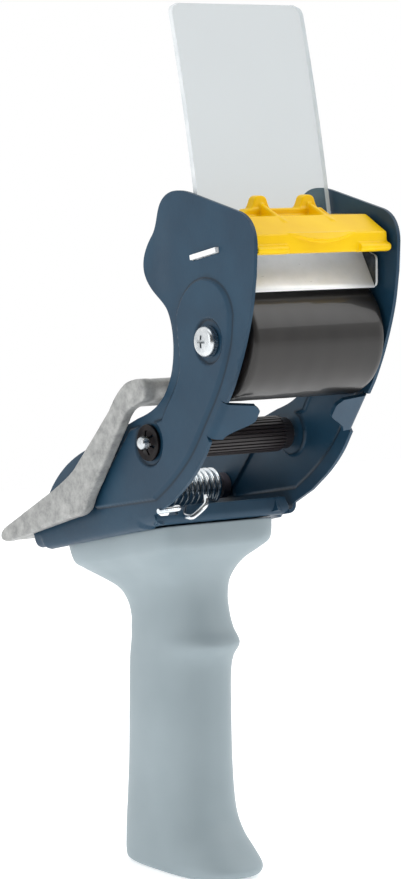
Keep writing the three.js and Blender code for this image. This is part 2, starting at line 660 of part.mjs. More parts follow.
function blade() {
  const up = SHELF.thick / 2 + GAP;
  const heel = shelfPoint(4.6, up);
  const bendAt = shelfPoint(8.6, up);
  const edge = [-62.4, 200.6];
  const s = new THREE.Shape();
  s.moveTo(...heel);
  s.lineTo(...bendAt);
  s.lineTo(...edge);
  s.lineTo(edge[0] + 0.1, edge[1] + BLADE.thick);
  s.lineTo(bendAt[0] + 0.1, bendAt[1] + BLADE.thick);
  s.lineTo(heel[0] - 0.15, heel[1] + BLADE.thick);
  s.closePath();
  const strip = slab(s, -BLADE.half, BLADE.half, 2);
  const pitch = (2 * BLADE.half) / BLADE.teeth;
  const gullets = [];
  for (let i = 0; i < BLADE.teeth; i++) {
    const x = -BLADE.half + (i + 0.5) * pitch;
    const v = new THREE.Shape();
    v.moveTo(x - pitch * 0.48, edge[0] - 1);
    v.lineTo(x + pitch * 0.48, edge[0] - 1);
    v.lineTo(x, edge[0] + BLADE.tip);
    v.closePath();
    const g = new THREE.ExtrudeGeometry(v, { depth: 8, bevelEnabled: false });
    g.translate(0, 0, edge[1] - 3);
    gullets.push(solid(g));
  }
  return cut(strip, ...gullets, ...RIVETS.map((x) => rivetHole(x)));
}
part("cutter_blade", blade(), bladeSteel);

RIVETS.forEach((x, i) => {
  const low = -SHELF.thick / 2 - GAP;
  const high = SHELF.thick / 2 + GAP + BLADE.thick + 0.2;
  const rivet = shelfTurned([[0, low - 0.9], [1.9, low - 0.7], [2.2, low], [1.25, low], [1.25, high],
    [2.2, high], [1.9, high + 0.7], [0, high + 0.9]], x);
  part(["blade_rivet_left", "blade_rivet_right"][i], rivet, zincSteel);
});

// ---- guard: a yellow hood over the blade, hinged on a pin, with lugs for the flap ----
const GUARD = { half: 25.4, wall: 1.6 };

function hoodOutline() {
  const s = new THREE.Shape();
  s.moveTo(-64.9, 199.9);
  s.lineTo(-66.2, 200.6);
  s.quadraticCurveTo(-67, 201.4, -66.3, 202.6);
  s.lineTo(-65.4, 203);
  s.lineTo(-65.2, 205.9);
  s.lineTo(-55.4, 210.9);
  s.lineTo(-42, 210.6);
  s.lineTo(-38.2, 210.2);
  s.lineTo(-39.4, 203.4);
  s.lineTo(-40.5, 203.7);
  s.lineTo(-39.7, 208.8);
  s.lineTo(-54.6, 209.1);
  s.lineTo(-63.6, 204.6);
  s.lineTo(-63.8, 200.2);
  s.closePath();
  return s;
}

function hoodSide() {
  const s = new THREE.Shape();
  s.moveTo(-65.2, 201);
  s.lineTo(-65.2, 205.6);
  s.lineTo(-55.4, 210.6);
  s.lineTo(-40, 210);
  s.lineTo(-41, 205);
  s.lineTo(-47, 203.6);
  s.lineTo(-56, 203.4);
  s.lineTo(-64, 201);
  s.closePath();
  return s;
}

// A knuckle of the guard round its pin.
function knuckle(x0, x1) {
  const s = new THREE.Shape();
  s.moveTo(GUARD_PIN.y - 2.9, 209.6);
  s.lineTo(GUARD_PIN.y - 2.9, GUARD_PIN.z);
  s.absarc(GUARD_PIN.y, GUARD_PIN.z, 2.9, Math.PI, 2 * Math.PI, false);
  s.lineTo(GUARD_PIN.y + 2.9, 209.6);
  s.closePath();
  return slab(s, x0, x1, 8);
}

function lug(x) {
  const s = new THREE.Shape();
  s.moveTo(x - 4, 212);
  s.lineTo(x - 2.5, 215);
  s.quadraticCurveTo(x - 2.2, 216.9, x, 216.9);
  s.quadraticCurveTo(x + 2.2, 216.9, x + 2.5, 215);
  s.lineTo(x + 4, 212);
  s.closePath();
  const g = new THREE.ExtrudeGeometry(s, { depth: 3.4, bevelEnabled: false, curveSegments: 5 });
  g.rotateX(Math.PI / 2);
  g.translate(0, -43.2, 0);
  return solid(g);
}

function lugBar() {
  const s = new THREE.Shape();
  s.moveTo(-18.4, 210);
  s.lineTo(-14, 212.9);
  s.lineTo(14, 212.9);
  s.lineTo(18.4, 210);
  s.closePath();
  const g = new THREE.ExtrudeGeometry(s, { depth: 4.2, bevelEnabled: false });
  g.rotateX(Math.PI / 2);
  g.translate(0, -42.8, 0);
  return solid(g);
}

// The raised lens on the front face, a thumb rest.
function frontLens() {
  const s = new THREE.Shape();
  s.moveTo(-11, 206.1);
  s.lineTo(11, 206.1);
  s.quadraticCurveTo(0, 202.6, -11, 206.1);
  const g = new THREE.ExtrudeGeometry(s, { depth: 1.6, bevelEnabled: false, curveSegments: 8 });
  g.rotateX(Math.PI / 2);
  g.translate(0, -64.4, 0);
  return solid(g);
}

function guard() {
  const h = GUARD.half;
  const hood = slab(hoodOutline(), -h + 0.7, h - 0.7, 4);
  const sides = [-1, 1].map((side) => slab(hoodSide(), ...span(side * (h - 2), side * (h - 0.4)), 2));
  const lips = [-1, 1].map((side) => softSlab(lipOutline(), ...span(side * 13.6, side * h), 0.6, 4));
  const knuckles = [knuckle(-21.2, -13), knuckle(13, 21.2)];
  return cut(
    join(hood, ...sides, ...lips, ...knuckles, lug(-9.1), lug(9.1), lugBar(), frontLens()),
    rod(GUARD_PIN, GUARD_PIN.r + 0.1, -26, 26, 16),
  );
}

function lipOutline() {
  const s = new THREE.Shape();
  s.moveTo(-64, 199.8);
  s.quadraticCurveTo(-67.1, 199.8, -67.1, 201.3);
  s.quadraticCurveTo(-67.1, 202.9, -64, 202.9);
  s.closePath();
  return s;
}
part("blade_guard", guard(), yellowPlastic);
part("guard_pin", turned(pinProfile(GUARD_PIN.r, 24.6), GUARD_PIN, 14), zincSteel);

// ---- guard spring: a light torsion coil on the pin, its legs under the hood and on the shelf ----
class Coil extends THREE.Curve {
  constructor(at, r, from, to, turns, start, legs) {
    super();
    Object.assign(this, { at, r, from, to, turns, start, legs });
    this.arcLengthDivisions = 2000;
  }
  getPoint(t, target = new THREE.Vector3()) {
    const share = 0.05;
    const lerp = (a, b, k) => target.set(...a.map((v, i) => v + (b[i] - v) * k));
    const on = (k) => {
      const a = this.start + k * this.turns * Math.PI * 2;
      const x = this.from + (this.to - this.from) * k;
      return [x, this.at.y + this.r * Math.cos(a), this.at.z + this.r * Math.sin(a)];
    };
    if (t < share) return lerp(this.legs[0], on(0), t / share);
    if (t > 1 - share) return lerp(on(1), this.legs[1], (t - 1 + share) / share);
    return target.set(...on((t - share) / (1 - 2 * share)));
  }
}
const guardCoil = new Coil(GUARD_PIN, 2.35, -5.5, 5.5, 7.5, 0, [
  [-5.5, GUARD_PIN.y + 2.2, 202.6],
  [5.5, GUARD_PIN.y - 9, 207.6],
]);
part("guard_spring", wire(guardCoil, 0.4, 64, 4), zincSteel);

// ---- clear flap and the strip that clamps it to the guard ----
const FLAP = { half: 25.25, thick: 2 };

function flapOutline(thick) {
  const s = new THREE.Shape();
  s.moveTo(FLAP_FOOT.y, FLAP_FOOT.z);
  s.quadraticCurveTo(-30.1, 243, -22.9, 272.4);
  s.lineTo(-21.9, 275.4);
  s.lineTo(-21.9 + thick, 275.1);
  s.lineTo(-22.9 + thick, 272);
  s.quadraticCurveTo(-30.1 + thick, 242.8, FLAP_FOOT.y + thick, FLAP_FOOT.z);
  s.closePath();
  return s;
}
part("flap", slab(flapOutline(FLAP.thick), -FLAP.half, FLAP.half, 6), clearSheet);

function clampOutline() {
  const s = new THREE.Shape();
  s.moveTo(-37.4, 203.6);
  s.lineTo(-36.2, 209.1);
  s.lineTo(-34.5, 208.8);
  s.lineTo(-35.8, 203.4);
  s.closePath();
  return s;
}
part("flap_clamp", slab(clampOutline(), -21, 21, 2), yellowPlastic);

export default dispenser;
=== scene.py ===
import json
import math

import bmesh
import bpy
import numpy as np
from mathutils import Matrix, Vector
from mathutils.geometry import delaunay_2d_cdt


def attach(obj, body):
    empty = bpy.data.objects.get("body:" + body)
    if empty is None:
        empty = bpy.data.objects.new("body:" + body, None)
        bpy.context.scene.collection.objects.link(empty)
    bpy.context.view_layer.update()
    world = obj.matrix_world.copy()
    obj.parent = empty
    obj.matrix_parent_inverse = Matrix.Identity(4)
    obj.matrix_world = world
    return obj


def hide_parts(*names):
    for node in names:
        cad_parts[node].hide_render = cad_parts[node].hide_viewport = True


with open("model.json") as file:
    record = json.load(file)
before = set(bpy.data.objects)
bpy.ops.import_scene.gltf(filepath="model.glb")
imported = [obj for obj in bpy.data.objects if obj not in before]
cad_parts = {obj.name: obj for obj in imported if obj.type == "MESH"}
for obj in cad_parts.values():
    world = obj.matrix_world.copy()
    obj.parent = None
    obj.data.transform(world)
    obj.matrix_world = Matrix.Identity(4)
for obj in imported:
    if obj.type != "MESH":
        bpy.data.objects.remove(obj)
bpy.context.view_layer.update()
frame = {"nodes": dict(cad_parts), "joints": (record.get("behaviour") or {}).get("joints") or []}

# A hand-held packing tape dispenser. Lengths in this script are millimetres, turned into metres
# where a mesh is made. X runs across the tape, the roller side is towards -Y, Z is up.
MM = 0.001

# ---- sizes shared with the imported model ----
SHEET = 1.2
FRAME_HALF = 27.8
EMBOSS = 0.8
BASE_TILT = math.radians(-11.4)
BASE_FRONT = (-17.6, 114.6)
BASE_LENGTH = 69.5
BEND = 3.2
LIP = 5.5
SHELF = (-43.8, 199.7)
SHELF_RISE = math.radians(12.5)
SHELF_HALF = 6.7
SHELF_THICK = 1.8
GUARD_HALF = 25.4
GAP = 0.3    # between pieces that touch on the real object
HANDLE_SCREWS = {"handle_screw_front": 13, "handle_screw_rear": 53}    # back from the base's front edge


def axis_of(joint):
    """The (y, z) of a joint's axis, which runs along X."""
    pos = next(j["pos_m"] for j in frame["joints"] if j["name"] == joint)
    return pos[1] / MM, pos[2] / MM


ROLLER = axis_of("front_roller_spin")
PINCH = axis_of("pinch_roller_spin")
PIVOT = axis_of("roll_arm_swing")
GUARD_PIN = axis_of("blade_guard_lift")
ROLLER_R, ROLLER_HALF, ROLLER_BORE = 18.5, 25.0, 15.5
PINCH_R, PINCH_HALF, PINCH_BORE, FLUTES = 5.7, 24.8, 2.35, 30


def on_base(back, up):
    """A (y, z) given along the tilted base: back from its front edge, up from its underside."""
    c, s = math.cos(BASE_TILT), math.sin(BASE_TILT)
    return BASE_FRONT[0] + back * c - up * s, BASE_FRONT[1] + back * s + up * c


def above_base(y, z):
    """How far a point stands above the underside of the tilted base."""
    return -(y - BASE_FRONT[0]) * math.sin(BASE_TILT) + (z - BASE_FRONT[1]) * math.cos(BASE_TILT)


def on_shelf(along, up):
    """A (y, z) given along the cutter shelf: forward from its middle, up from its middle plane."""
    c, s = math.cos(SHELF_RISE), math.sin(SHELF_RISE)
    return SHELF[0] - along * c + up * s, SHELF[1] + along * s + up * c


# ---- camera, world and stage ----
VIEW_TURN = math.radians(36.0)
VIEW_RISE = math.radians(5.85)
TARGET = Vector((0.0, -3.0, 138.5))
DISTANCE = 1036.2
LENS = 133.68


def make_camera():
    back = Vector((-math.sin(VIEW_TURN) * math.cos(VIEW_RISE),
                   -math.cos(VIEW_TURN) * math.cos(VIEW_RISE), math.sin(VIEW_RISE)))
    right = Vector((math.cos(VIEW_TURN), -math.sin(VIEW_TURN), 0.0))
    up = back.cross(right)
    camera = bpy.data.objects.new("camera", bpy.data.cameras.new("camera"))
    camera.matrix_world = Matrix((right, up, back)).transposed().to_4x4()
    camera.location = (TARGET + back * DISTANCE) * MM
    camera.data.lens = LENS
    camera.data.sensor_width = 36.0
    camera.data.clip_start = 0.01
    bpy.context.scene.collection.objects.link(camera)
    bpy.context.scene.camera = camera


def area_light(name, place, aim, width, height, power):
    light = bpy.data.lights.new(name, "AREA")
    light.shape = "RECTANGLE"
    light.size, light.size_y = width, height
    light.energy = power
    holder = bpy.data.objects.new(name, light)
    holder.location = place
    holder.rotation_euler = (Vector(aim) - Vector(place)).to_track_quat("-Z", "Y").to_euler()
    bpy.context.scene.collection.objects.link(holder)


def make_world():
    """A white room that is dimmer on the side the object is looked at from."""
    world = bpy.data.worlds.new("studio")
    world.use_nodes = True
    tree = world.node_tree
    place = tree.nodes.new("ShaderNodeTexCoord").outputs["Generated"]
    turn = tree.nodes.new("ShaderNodeVectorMath")
    turn.operation = "DOT_PRODUCT"
    turn.inputs[1].default_value = (-0.43, -0.87, 0.22)
    tree.links.new(place, turn.inputs[0])
    fall = tree.nodes.new("ShaderNodeValToRGB")
    fall.color_ramp.interpolation = "EASE"
    fall.color_ramp.elements[0].position = 0.18
    fall.color_ramp.elements[0].color = (1.0, 1.0, 1.0, 1.0)
    fall.color_ramp.elements[1].position = 0.92
    fall.color_ramp.elements[1].color = (0.1, 0.1, 0.1, 1.0)
    tree.links.new(turn.outputs["Value"], fall.inputs["Fac"])
    tree.links.new(fall.outputs["Color"], tree.nodes["Background"].inputs["Color"])
    bpy.context.scene.world = world
    bpy.context.scene.view_settings.view_transform = "Standard"


# ---- materials ----
def colour(red, green, blue):
    """A linear colour from display values 0 to 255."""
    def linear(v):
        v /= 255.0
        return v / 12.92 if v <= 0.04045 else ((v + 0.055) / 1.055) ** 2.4
    return linear(red), linear(green), linear(blue), 1.0


class Paint:
    """A procedural material: a Principled shader, its colour mottled between shades by noise."""

    def __init__(self, name, roughness=0.5, metallic=0.0, coat=0.0, specular=0.5):
        self.material = bpy.data.materials.new(name)
        self.material.use_nodes = True
        self.tree = self.material.node_tree
        self.shader = self.tree.nodes["Principled BSDF"]
        self.shader.inputs["Roughness"].default_value = roughness
        self.shader.inputs["Metallic"].default_value = metallic
        self.shader.inputs["Coat Weight"].default_value = coat
        self.shader.inputs["Coat Roughness"].default_value = 0.07
        self.shader.inputs["Specular IOR Level"].default_value = specular
        self.place = self.tree.nodes.new("ShaderNodeTexCoord").outputs["Object"]
        self.height = None

    def node(self, kind, **values):
        made = self.tree.nodes.new(kind)
        for key, value in values.items():
            made.inputs[key].default_value = value
        return made

    def stretched(self, scale):
        mapping = self.node("ShaderNodeMapping", Scale=scale)
        self.tree.links.new(self.place, mapping.inputs["Vector"])
        return mapping.outputs["Vector"]

    def noise(self, scale, detail=3.0, rough=0.55, stretch=None):
        made = self.node("ShaderNodeTexNoise", Scale=scale, Detail=detail, Roughness=rough)
        source = self.stretched(stretch) if stretch else self.place
        self.tree.links.new(source, made.inputs["Vector"])
        return made.outputs["Fac"]

    def ramp(self, fac, stops):
        made = self.tree.nodes.new("ShaderNodeValToRGB")
        elements = made.color_ramp.elements
        while len(elements) < len(stops):
            elements.new(0.5)
        for element, (at, shade) in zip(elements, stops):
            element.position = at
            element.color = shade
        self.tree.links.new(fac, made.inputs["Fac"])
        return made.outputs["Color"]

    def mottle(self, fac, dark, light, low=0.35, high=0.65):
        self.tree.links.new(self.ramp(fac, [(low, dark), (high, light)]), self.shader.inputs["Base Color"])
        return self

    def rough(self, fac, low, high):
        made = self.node("ShaderNodeMapRange", **{"To Min": low, "To Max": high})
        self.tree.links.new(fac, made.inputs["Value"])
        self.tree.links.new(made.outputs["Result"], self.shader.inputs["Roughness"])
        return self

    def bump(self, fac, depth, strength=1.0):
        made = self.node("ShaderNodeBump", Distance=depth * MM, Strength=strength)
        self.tree.links.new(fac, made.inputs["Height"])
        if self.height:
            self.tree.links.new(self.height, made.inputs["Normal"])
        self.height = made.outputs["Normal"]
        self.tree.links.new(self.height, self.shader.inputs["Normal"])
        return self


def powder_coat(name, dark, light, roughness):
    """Sheet-metal paint, with shade painted in where a point attribute of the mesh marks the foot of a
    pressed step.
    """
    paint = Paint(name, roughness=roughness, specular=0.3)
    painted_crease_shade = paint.tree.nodes.new("ShaderNodeAttribute")
    painted_crease_shade.attribute_name = "painted_crease_shade"
    mix = paint.node("ShaderNodeMix")
    mix.data_type = "RGBA"
    # sockets 0, 6 and 7 are the factor and the two colours, and output 2 is the mixed colour
    factor, open_colour, painted_shade_colour = mix.inputs[0], mix.inputs[6], mix.inputs[7]
    # painted shade: at the foot of each pressed step the paint is 0.4 times as bright
    painted_shade_colour.default_value = (dark[0] * 0.4, dark[1] * 0.4, dark[2] * 0.4, 1.0)
    paint.tree.links.new(painted_crease_shade.outputs["Fac"], factor)
    paint.tree.links.new(paint.ramp(paint.noise(38.0, 4.0), [(0.35, dark), (0.65, light)]), open_colour)
    paint.tree.links.new(mix.outputs[2], paint.shader.inputs["Base Color"])
    paint.rough(paint.noise(420.0, 2.0), roughness - 0.07, roughness + 0.09)
    paint.bump(paint.noise(900.0, 2.0), 0.035, 0.55)
    paint.bump(paint.noise(110.0, 2.0), 0.06, 0.4)
    return paint.material


def steel(name, dark, light, roughness, scratch=0.5, stretch=(1.0, 26.0, 26.0), metallic=1.0):
    """Bare or plated metal with fine scratches, drawn out by stretch."""
    paint = Paint(name, roughness=roughness, metallic=metallic)
    paint.mottle(paint.noise(240.0, 4.0), dark, light)
    paint.rough(paint.noise(160.0, 5.0, stretch=stretch), roughness * 0.7, roughness * 1.45)
    paint.bump(paint.noise(300.0, 4.0, stretch=stretch), 0.02, scratch)
    return paint.material


FRAME_PAINT = powder_coat("slate_blue_powder_coat", colour(22, 54, 76), colour(29, 65, 88), 0.4)
# painted highlight: the rounded edges of the frame sheet are painted much lighter, standing in for the light
# they catch
EDGE_HIGHLIGHT_PAINT = powder_coat("slate_blue_edge_highlight", colour(112, 138, 158), colour(150, 174, 190), 0.34)


def make_grip_plastic():
    paint = Paint("grip_grey_plastic", roughness=0.52, specular=0.4)
    paint.mottle(paint.noise(24.0, 3.0), colour(147, 161, 167), colour(156, 170, 176))
    paint.rough(paint.noise(260.0, 3.0), 0.44, 0.6)
    paint.bump(paint.noise(1400.0, 2.0), 0.03, 0.5)
    paint.bump(paint.noise(60.0, 2.0), 0.12, 0.25)
    return paint.material


def make_rubber():
    paint = Paint("dark_roller_rubber", roughness=0.4, coat=0.4, specular=0.35)
    paint.mottle(paint.noise(45.0, 4.0), colour(22, 20, 19), colour(31, 28, 26))
    paint.rough(paint.noise(90.0, 4.0), 0.34, 0.46)
    paint.bump(paint.noise(60.0, 2.0, stretch=(1.0, 0.8, 0.8)), 0.9, 0.35)
    paint.bump(paint.noise(700.0, 3.0), 0.02, 0.4)
    return paint.material


def moulded_plastic(name, dark, light):
    paint = Paint(name, roughness=0.36, specular=0.5)
    paint.mottle(paint.noise(70.0, 3.0), dark, light)
    paint.rough(paint.noise(240.0, 3.0), 0.28, 0.46)
    paint.bump(paint.noise(800.0, 3.0), 0.02, 0.5)
    return paint.material


def make_cast_metal():
    paint = Paint("tumbled_cast_metal", roughness=0.45, metallic=0.22, specular=0.5)
    paint.mottle(paint.noise(260.0, 8.0, 0.75), colour(122, 124, 124), colour(190, 191, 189), 0.28, 0.72)
    paint.rough(paint.noise(300.0, 5.0), 0.36, 0.56)
    paint.bump(paint.noise(520.0, 6.0, 0.7), 0.14, 0.7)
    paint.bump(paint.noise(90.0, 3.0), 0.5, 0.4)
    return paint.material


def make_yellow():
    paint = Paint("yellow_guard_plastic", roughness=0.28, specular=0.22)
    paint.mottle(paint.noise(50.0, 3.0), colour(243, 195, 0), colour(252, 208, 0))
    paint.rough(paint.noise(220.0, 3.0), 0.24, 0.36)
    paint.bump(paint.noise(90.0, 2.0), 0.1, 0.25)
    paint.bump(paint.noise(900.0, 2.0), 0.015, 0.4)
    return paint.material


def make_clear_sheet():
    paint = Paint("hazed_clear_sheet", roughness=0.16, specular=0.5)
    paint.mottle(paint.noise(16.0, 3.0), colour(100, 130, 141), colour(114, 144, 154))
    paint.rough(paint.noise(60.0, 4.0), 0.1, 0.24)
    paint.bump(paint.noise(14.0, 2.0), 0.25, 0.3)
    paint.shader.inputs["Alpha"].default_value = 0.23
    return paint.material


# painted highlight: the clear sheet's edges are nearly white and nearly opaque, standing in for the light
# they catch
def make_sheet_edge_highlight():
    paint = Paint("clear_sheet_edge_highlight", roughness=0.2, specular=0.5)
    paint.mottle(paint.noise(120.0, 2.0), colour(214, 221, 225), colour(240, 244, 246))
    paint.shader.inputs["Alpha"].default_value = 0.8
    return paint.material


GRIP_PLASTIC = make_grip_plastic()
RUBBER = make_rubber()
BLACK_PLASTIC = moulded_plastic("black_moulded_plastic", colour(32, 28, 30), colour(45, 40, 41))
BUSH_PLASTIC = moulded_plastic("grey_bush_plastic", colour(72, 68, 76), colour(92, 86, 94))
CAST_METAL = make_cast_metal()
YELLOW = make_yellow()
CLEAR_SHEET = make_clear_sheet()
SHEET_EDGE_HIGHLIGHT = make_sheet_edge_highlight()
ZINC = steel("zinc_plated_steel", colour(188, 194, 198), colour(222, 226, 228), 0.24)
SPRING_WIRE = steel("plated_spring_wire", colour(214, 222, 228), colour(240, 244, 246), 0.2, 0.3)
CHROME = steel("bright_nickel_sheet", colour(246, 248, 248), colour(254, 255, 255), 0.3, 0.25,
               (1.0, 6.0, 6.0), 0.22)
# painted shade and painted reflection: a dark copy of the bright nickel for the cheeks' inner faces, which
# sit in shade and reflect the dark plate
SHADED_CHROME = steel("nickel_sheet_painted_shade", colour(60, 64, 68), colour(96, 100, 104), 0.22, 0.4,
                      (1.0, 12.0, 2.0))
BLADE_STEEL = steel("ground_blade_steel", colour(150, 155, 160), colour(188, 192, 196), 0.26, 0.6)
BLACK_STEEL = steel("blackened_spring_steel", colour(24, 22, 24), colour(46, 42, 42), 0.34)

# the finishes that stand for each material slot of the imported model: the main one, then a second
# one for cut edges, painted lighter as a painted highlight, or for a side in shade, painted darker as
# painted shade
FINISHES = {
    "frame_paint": [FRAME_PAINT, EDGE_HIGHLIGHT_PAINT],
    "grip_plastic": [GRIP_PLASTIC],
    "roller_rubber": [RUBBER],
    "black_plastic": [BLACK_PLASTIC],
    "zinc_steel": [ZINC],
    "black_steel": [BLACK_STEEL],
    "cast_metal": [CAST_METAL],
    "bright_chrome": [CHROME, SHADED_CHROME],
    "yellow_plastic": [YELLOW],
    "clear_sheet": [CLEAR_SHEET, SHEET_EDGE_HIGHLIGHT],
}


# ---- outlines ----
def arc(centre, radius, start, turn, steps):
    """Points round a centre, from the angle start through the angle turn."""
    angles = [start + turn * k / steps for k in range(steps + 1)]
    return [(centre[0] + radius * math.cos(a), centre[1] + radius * math.sin(a)) for a in angles]


class Pen:
    """Draws an outline in a plane: straight lines, arcs, quadratic and cubic curves, splines."""

    def __init__(self, start):
        self.points = [np.array(start, float)]

    def line(self, *end):
        self.points.append(np.array(end, float))
        return self

    def arc(self, centre, radius, start, turn, steps=12):
        self.points += [np.array(p) for p in arc(centre, radius, start, turn, steps)]
        return self

    def cubic(self, a, b, end, steps=16):
        p0, p1, p2, p3 = self.points[-1], np.array(a, float), np.array(b, float), np.array(end, float)
        for i in range(1, steps + 1):
            t = i / steps
            u = 1 - t
            self.points.append(u**3 * p0 + 3 * u * u * t * p1 + 3 * u * t * t * p2 + t**3 * p3)
        return self

    def quad(self, a, end, steps=10):
        p0, p1, p2 = self.points[-1], np.array(a, float), np.array(end, float)
        return self.cubic(p0 + (p1 - p0) * 2 / 3, p2 + (p1 - p2) * 2 / 3, end, steps)

    def spline(self, points, steps=8):
        knots = [self.points[-1]] + [np.array(p, float) for p in points]
        self.points += smooth_path(knots, steps)[1:]
        return self


def smooth_path(knots, steps):
    """A Catmull-Rom curve through the knots."""
    knots = [np.array(k, float) for k in knots]
    padded = [2 * knots[0] - knots[1]] + knots + [2 * knots[-1] - knots[-2]]
    found = [knots[0]]
    for a, b, c, d in zip(padded, padded[1:], padded[2:], padded[3:]):
        for i in range(1, steps + 1):
            t = i / steps
            found.append(0.5 * (2 * b + (c - a) * t + (2 * a - 5 * b + 4 * c - d) * t * t
                                + (3 * b - a - 3 * c + d) * t**3))
    return found


def resample(points, spacing):
    """A closed loop walked at an even spacing, keeping its sharp corners."""
    points = [np.array(p, float) for p in points]
    found = []
    for a, b in zip(points, points[1:] + points[:1]):
        steps = max(1, int(round(np.linalg.norm(b - a) / spacing)))
        found += [a + (b - a) * i / steps for i in range(steps)]
    kept = [found[0]]
    for p in found[1:]:
        if np.linalg.norm(p - kept[-1]) > spacing * 0.45:
            kept.append(p)
    return np.array(kept)


def bar_outline(centre, direction, start, end, half):
    """A straight bar in (y, z) that points away from centre, from start to end along a direction."""
    along = np.array([math.cos(direction), math.sin(direction)])
    across = np.array([-math.sin(direction), math.cos(direction)])
    corners = ((start, -half), (end, -half), (end, half), (start, half))
    return [np.array(centre) + along * p + across * q for p, q in corners]


def helix(centre, radius, x0, x1, start, turns, steps):
    """Points of a coil about the X direction through centre, from x0 to x1."""
    points = []
    for i in range(steps + 1):
        k = i / steps
        a = start + 2 * math.pi * turns * k
        y, z = centre[0] + radius * math.cos(a), centre[1] + radius * math.sin(a)
        points.append((x0 + (x1 - x0) * k, y, z))
    return points


def circle(centre, radius, count):
    turn = np.linspace(0, 2 * math.pi, count, endpoint=False)
    return np.stack([centre[0] + radius * np.cos(turn), centre[1] + radius * np.sin(turn)], 1)


def depth_in(loop, points):
    """How deep points lie inside a closed loop (negative outside), and the nearest side's direction."""
    a = loop
    b = np.roll(loop, -1, 0)
    ab = b - a
    ap = points[:, None] - a[None]
    t = np.clip((ap * ab).sum(2) / (ab * ab).sum(1), 0, 1)
    gap = np.linalg.norm(ap - t[..., None] * ab, axis=2)
    nearest = gap.argmin(1)
    straddles = (a[None, :, 1] > points[:, None, 1]) != (b[None, :, 1] > points[:, None, 1])
    rise = np.where(b[:, 1] == a[:, 1], 1e-9, b[:, 1] - a[:, 1])
    cross_at = ab[:, 0] * (points[:, None, 1] - a[None, :, 1]) / rise + a[None, :, 0]
    inside = (straddles & (points[:, None, 0] < cross_at)).sum(1) % 2 == 1
    side = ab[nearest] / np.linalg.norm(ab[nearest], axis=1)[:, None]
    return np.where(inside, 1, -1) * gap.min(1), side


def step(x, low, high):
    """A smooth rise from 0 at low to 1 at high."""
    t = np.clip((np.asarray(x, float) - low) / (high - low), 0, 1)
    return t * t * (3 - 2 * t)


# ---- meshes ----
def new_object(name, mesh):
    piece = bpy.data.objects.new(name, mesh)
    bpy.context.scene.collection.objects.link(piece)
    return piece


def shade(mesh, sharp):
    """Smooth shading, with the edges sharper than an angle in degrees left crisp."""
    mesh.shade_smooth()
    mesh.set_sharp_from_angle(angle=math.radians(sharp))
    return mesh


def face_outwards(mesh):
    bm = bmesh.new()
    bm.from_mesh(mesh)
    bmesh.ops.recalc_face_normals(bm, faces=bm.faces)
    bm.to_mesh(mesh)
    bm.free()


def mesh_of(name, parts):
    """A mesh from (vertices in mm, faces) parts."""
    vertices, faces = [], []
    for part_vertices, part_faces in parts:
        start = len(vertices)
        vertices += [tuple(float(v) * MM for v in p) for p in part_vertices]
        faces += [tuple(i + start for i in f) for f in part_faces]
    mesh = bpy.data.meshes.new(name)
    mesh.from_pydata(vertices, [], faces)
    mesh.validate()
    return mesh


def finish_mesh(mesh, bevel=0.0, segments=2, least=35.0, skip=None, edge_slot=False, sharp=40.0):
    """Faces turned outwards, edges sharper than `least` degrees rounded, and smooth shading."""
    bm = bmesh.new()
    bm.from_mesh(mesh)
    bmesh.ops.remove_doubles(bm, verts=bm.verts, dist=1e-6)
    bmesh.ops.recalc_face_normals(bm, faces=bm.faces)
    if bevel:
        edges = [e for e in bm.edges if len(e.link_faces) == 2
                 and math.degrees(e.calc_face_angle(0.0)) > least
                 and not (skip and skip((e.verts[0].co + e.verts[1].co) / 2 / MM))]
        made = bmesh.ops.bevel(bm, geom=edges, offset=bevel * MM, offset_type="OFFSET",
                               segments=segments, profile=0.5, affect="EDGES", clamp_overlap=True)
        # the rounded edges take the slot's second finish, which for the frame paint is the painted edge
        # highlight
        if edge_slot:
            for face in made["faces"]:
                face.material_index = 1
    bm.to_mesh(mesh)
    bm.free()
    return shade(mesh, sharp)


def lathe(profile, centre, segments=96):
    """A profile of (radius, x) turned about the X axis through centre: vertices and faces."""
    vertices, faces, rings = [], [], []
    for radius, x in profile:
        if radius < 1e-6:
            rings.append([len(vertices)])
            vertices.append((x, centre[0], centre[1]))
            continue
        rings.append(list(range(len(vertices), len(vertices) + segments)))
        for i in range(segments):
            a = 2 * math.pi * i / segments
            vertices.append((x, centre[0] + radius * math.cos(a), centre[1] + radius * math.sin(a)))
    for lower, upper in zip(rings, rings[1:]):
        for i in range(segments):
            j = (i + 1) % segments
            if len(lower) == 1 and len(upper) == 1:
                continue
            if len(lower) == 1:
                faces.append((lower[0], upper[i], upper[j]))
            elif len(upper) == 1:
                faces.append((lower[i], lower[j], upper[0]))
            else:
                faces.append((lower[i], lower[j], upper[j], upper[i]))
    return vertices, faces


def turned_piece(name, profile, centre, bevel=0.25, segments=96):
    return new_object(name, finish_mesh(mesh_of(name, [lathe(profile, centre, segments)]), bevel, 3, 25.0))


def prism(outline, x0, x1):
    """An outline in (y, z) carried from x0 to x1."""
    n = len(outline)
    vertices = [(x0, y, z) for y, z in outline] + [(x1, y, z) for y, z in outline]
    faces = [tuple(range(n)), tuple(range(2 * n - 1, n - 1, -1))]
    faces += [(i, (i + 1) % n, (i + 1) % n + n, i + n) for i in range(n)]
    return vertices, faces


def side_prism(outline, side, near, far):
    """An outline in (y, z) carried between two distances from the middle, on one side of it."""
    return prism(outline, *sorted((side * near, side * far)))


def turned_prism(outline, y0, y1):
    """An outline in (x, z) carried from y0 to y1."""
    vertices, faces = prism(outline, y0, y1)
    return [(y, x, z) for x, y, z in vertices], faces


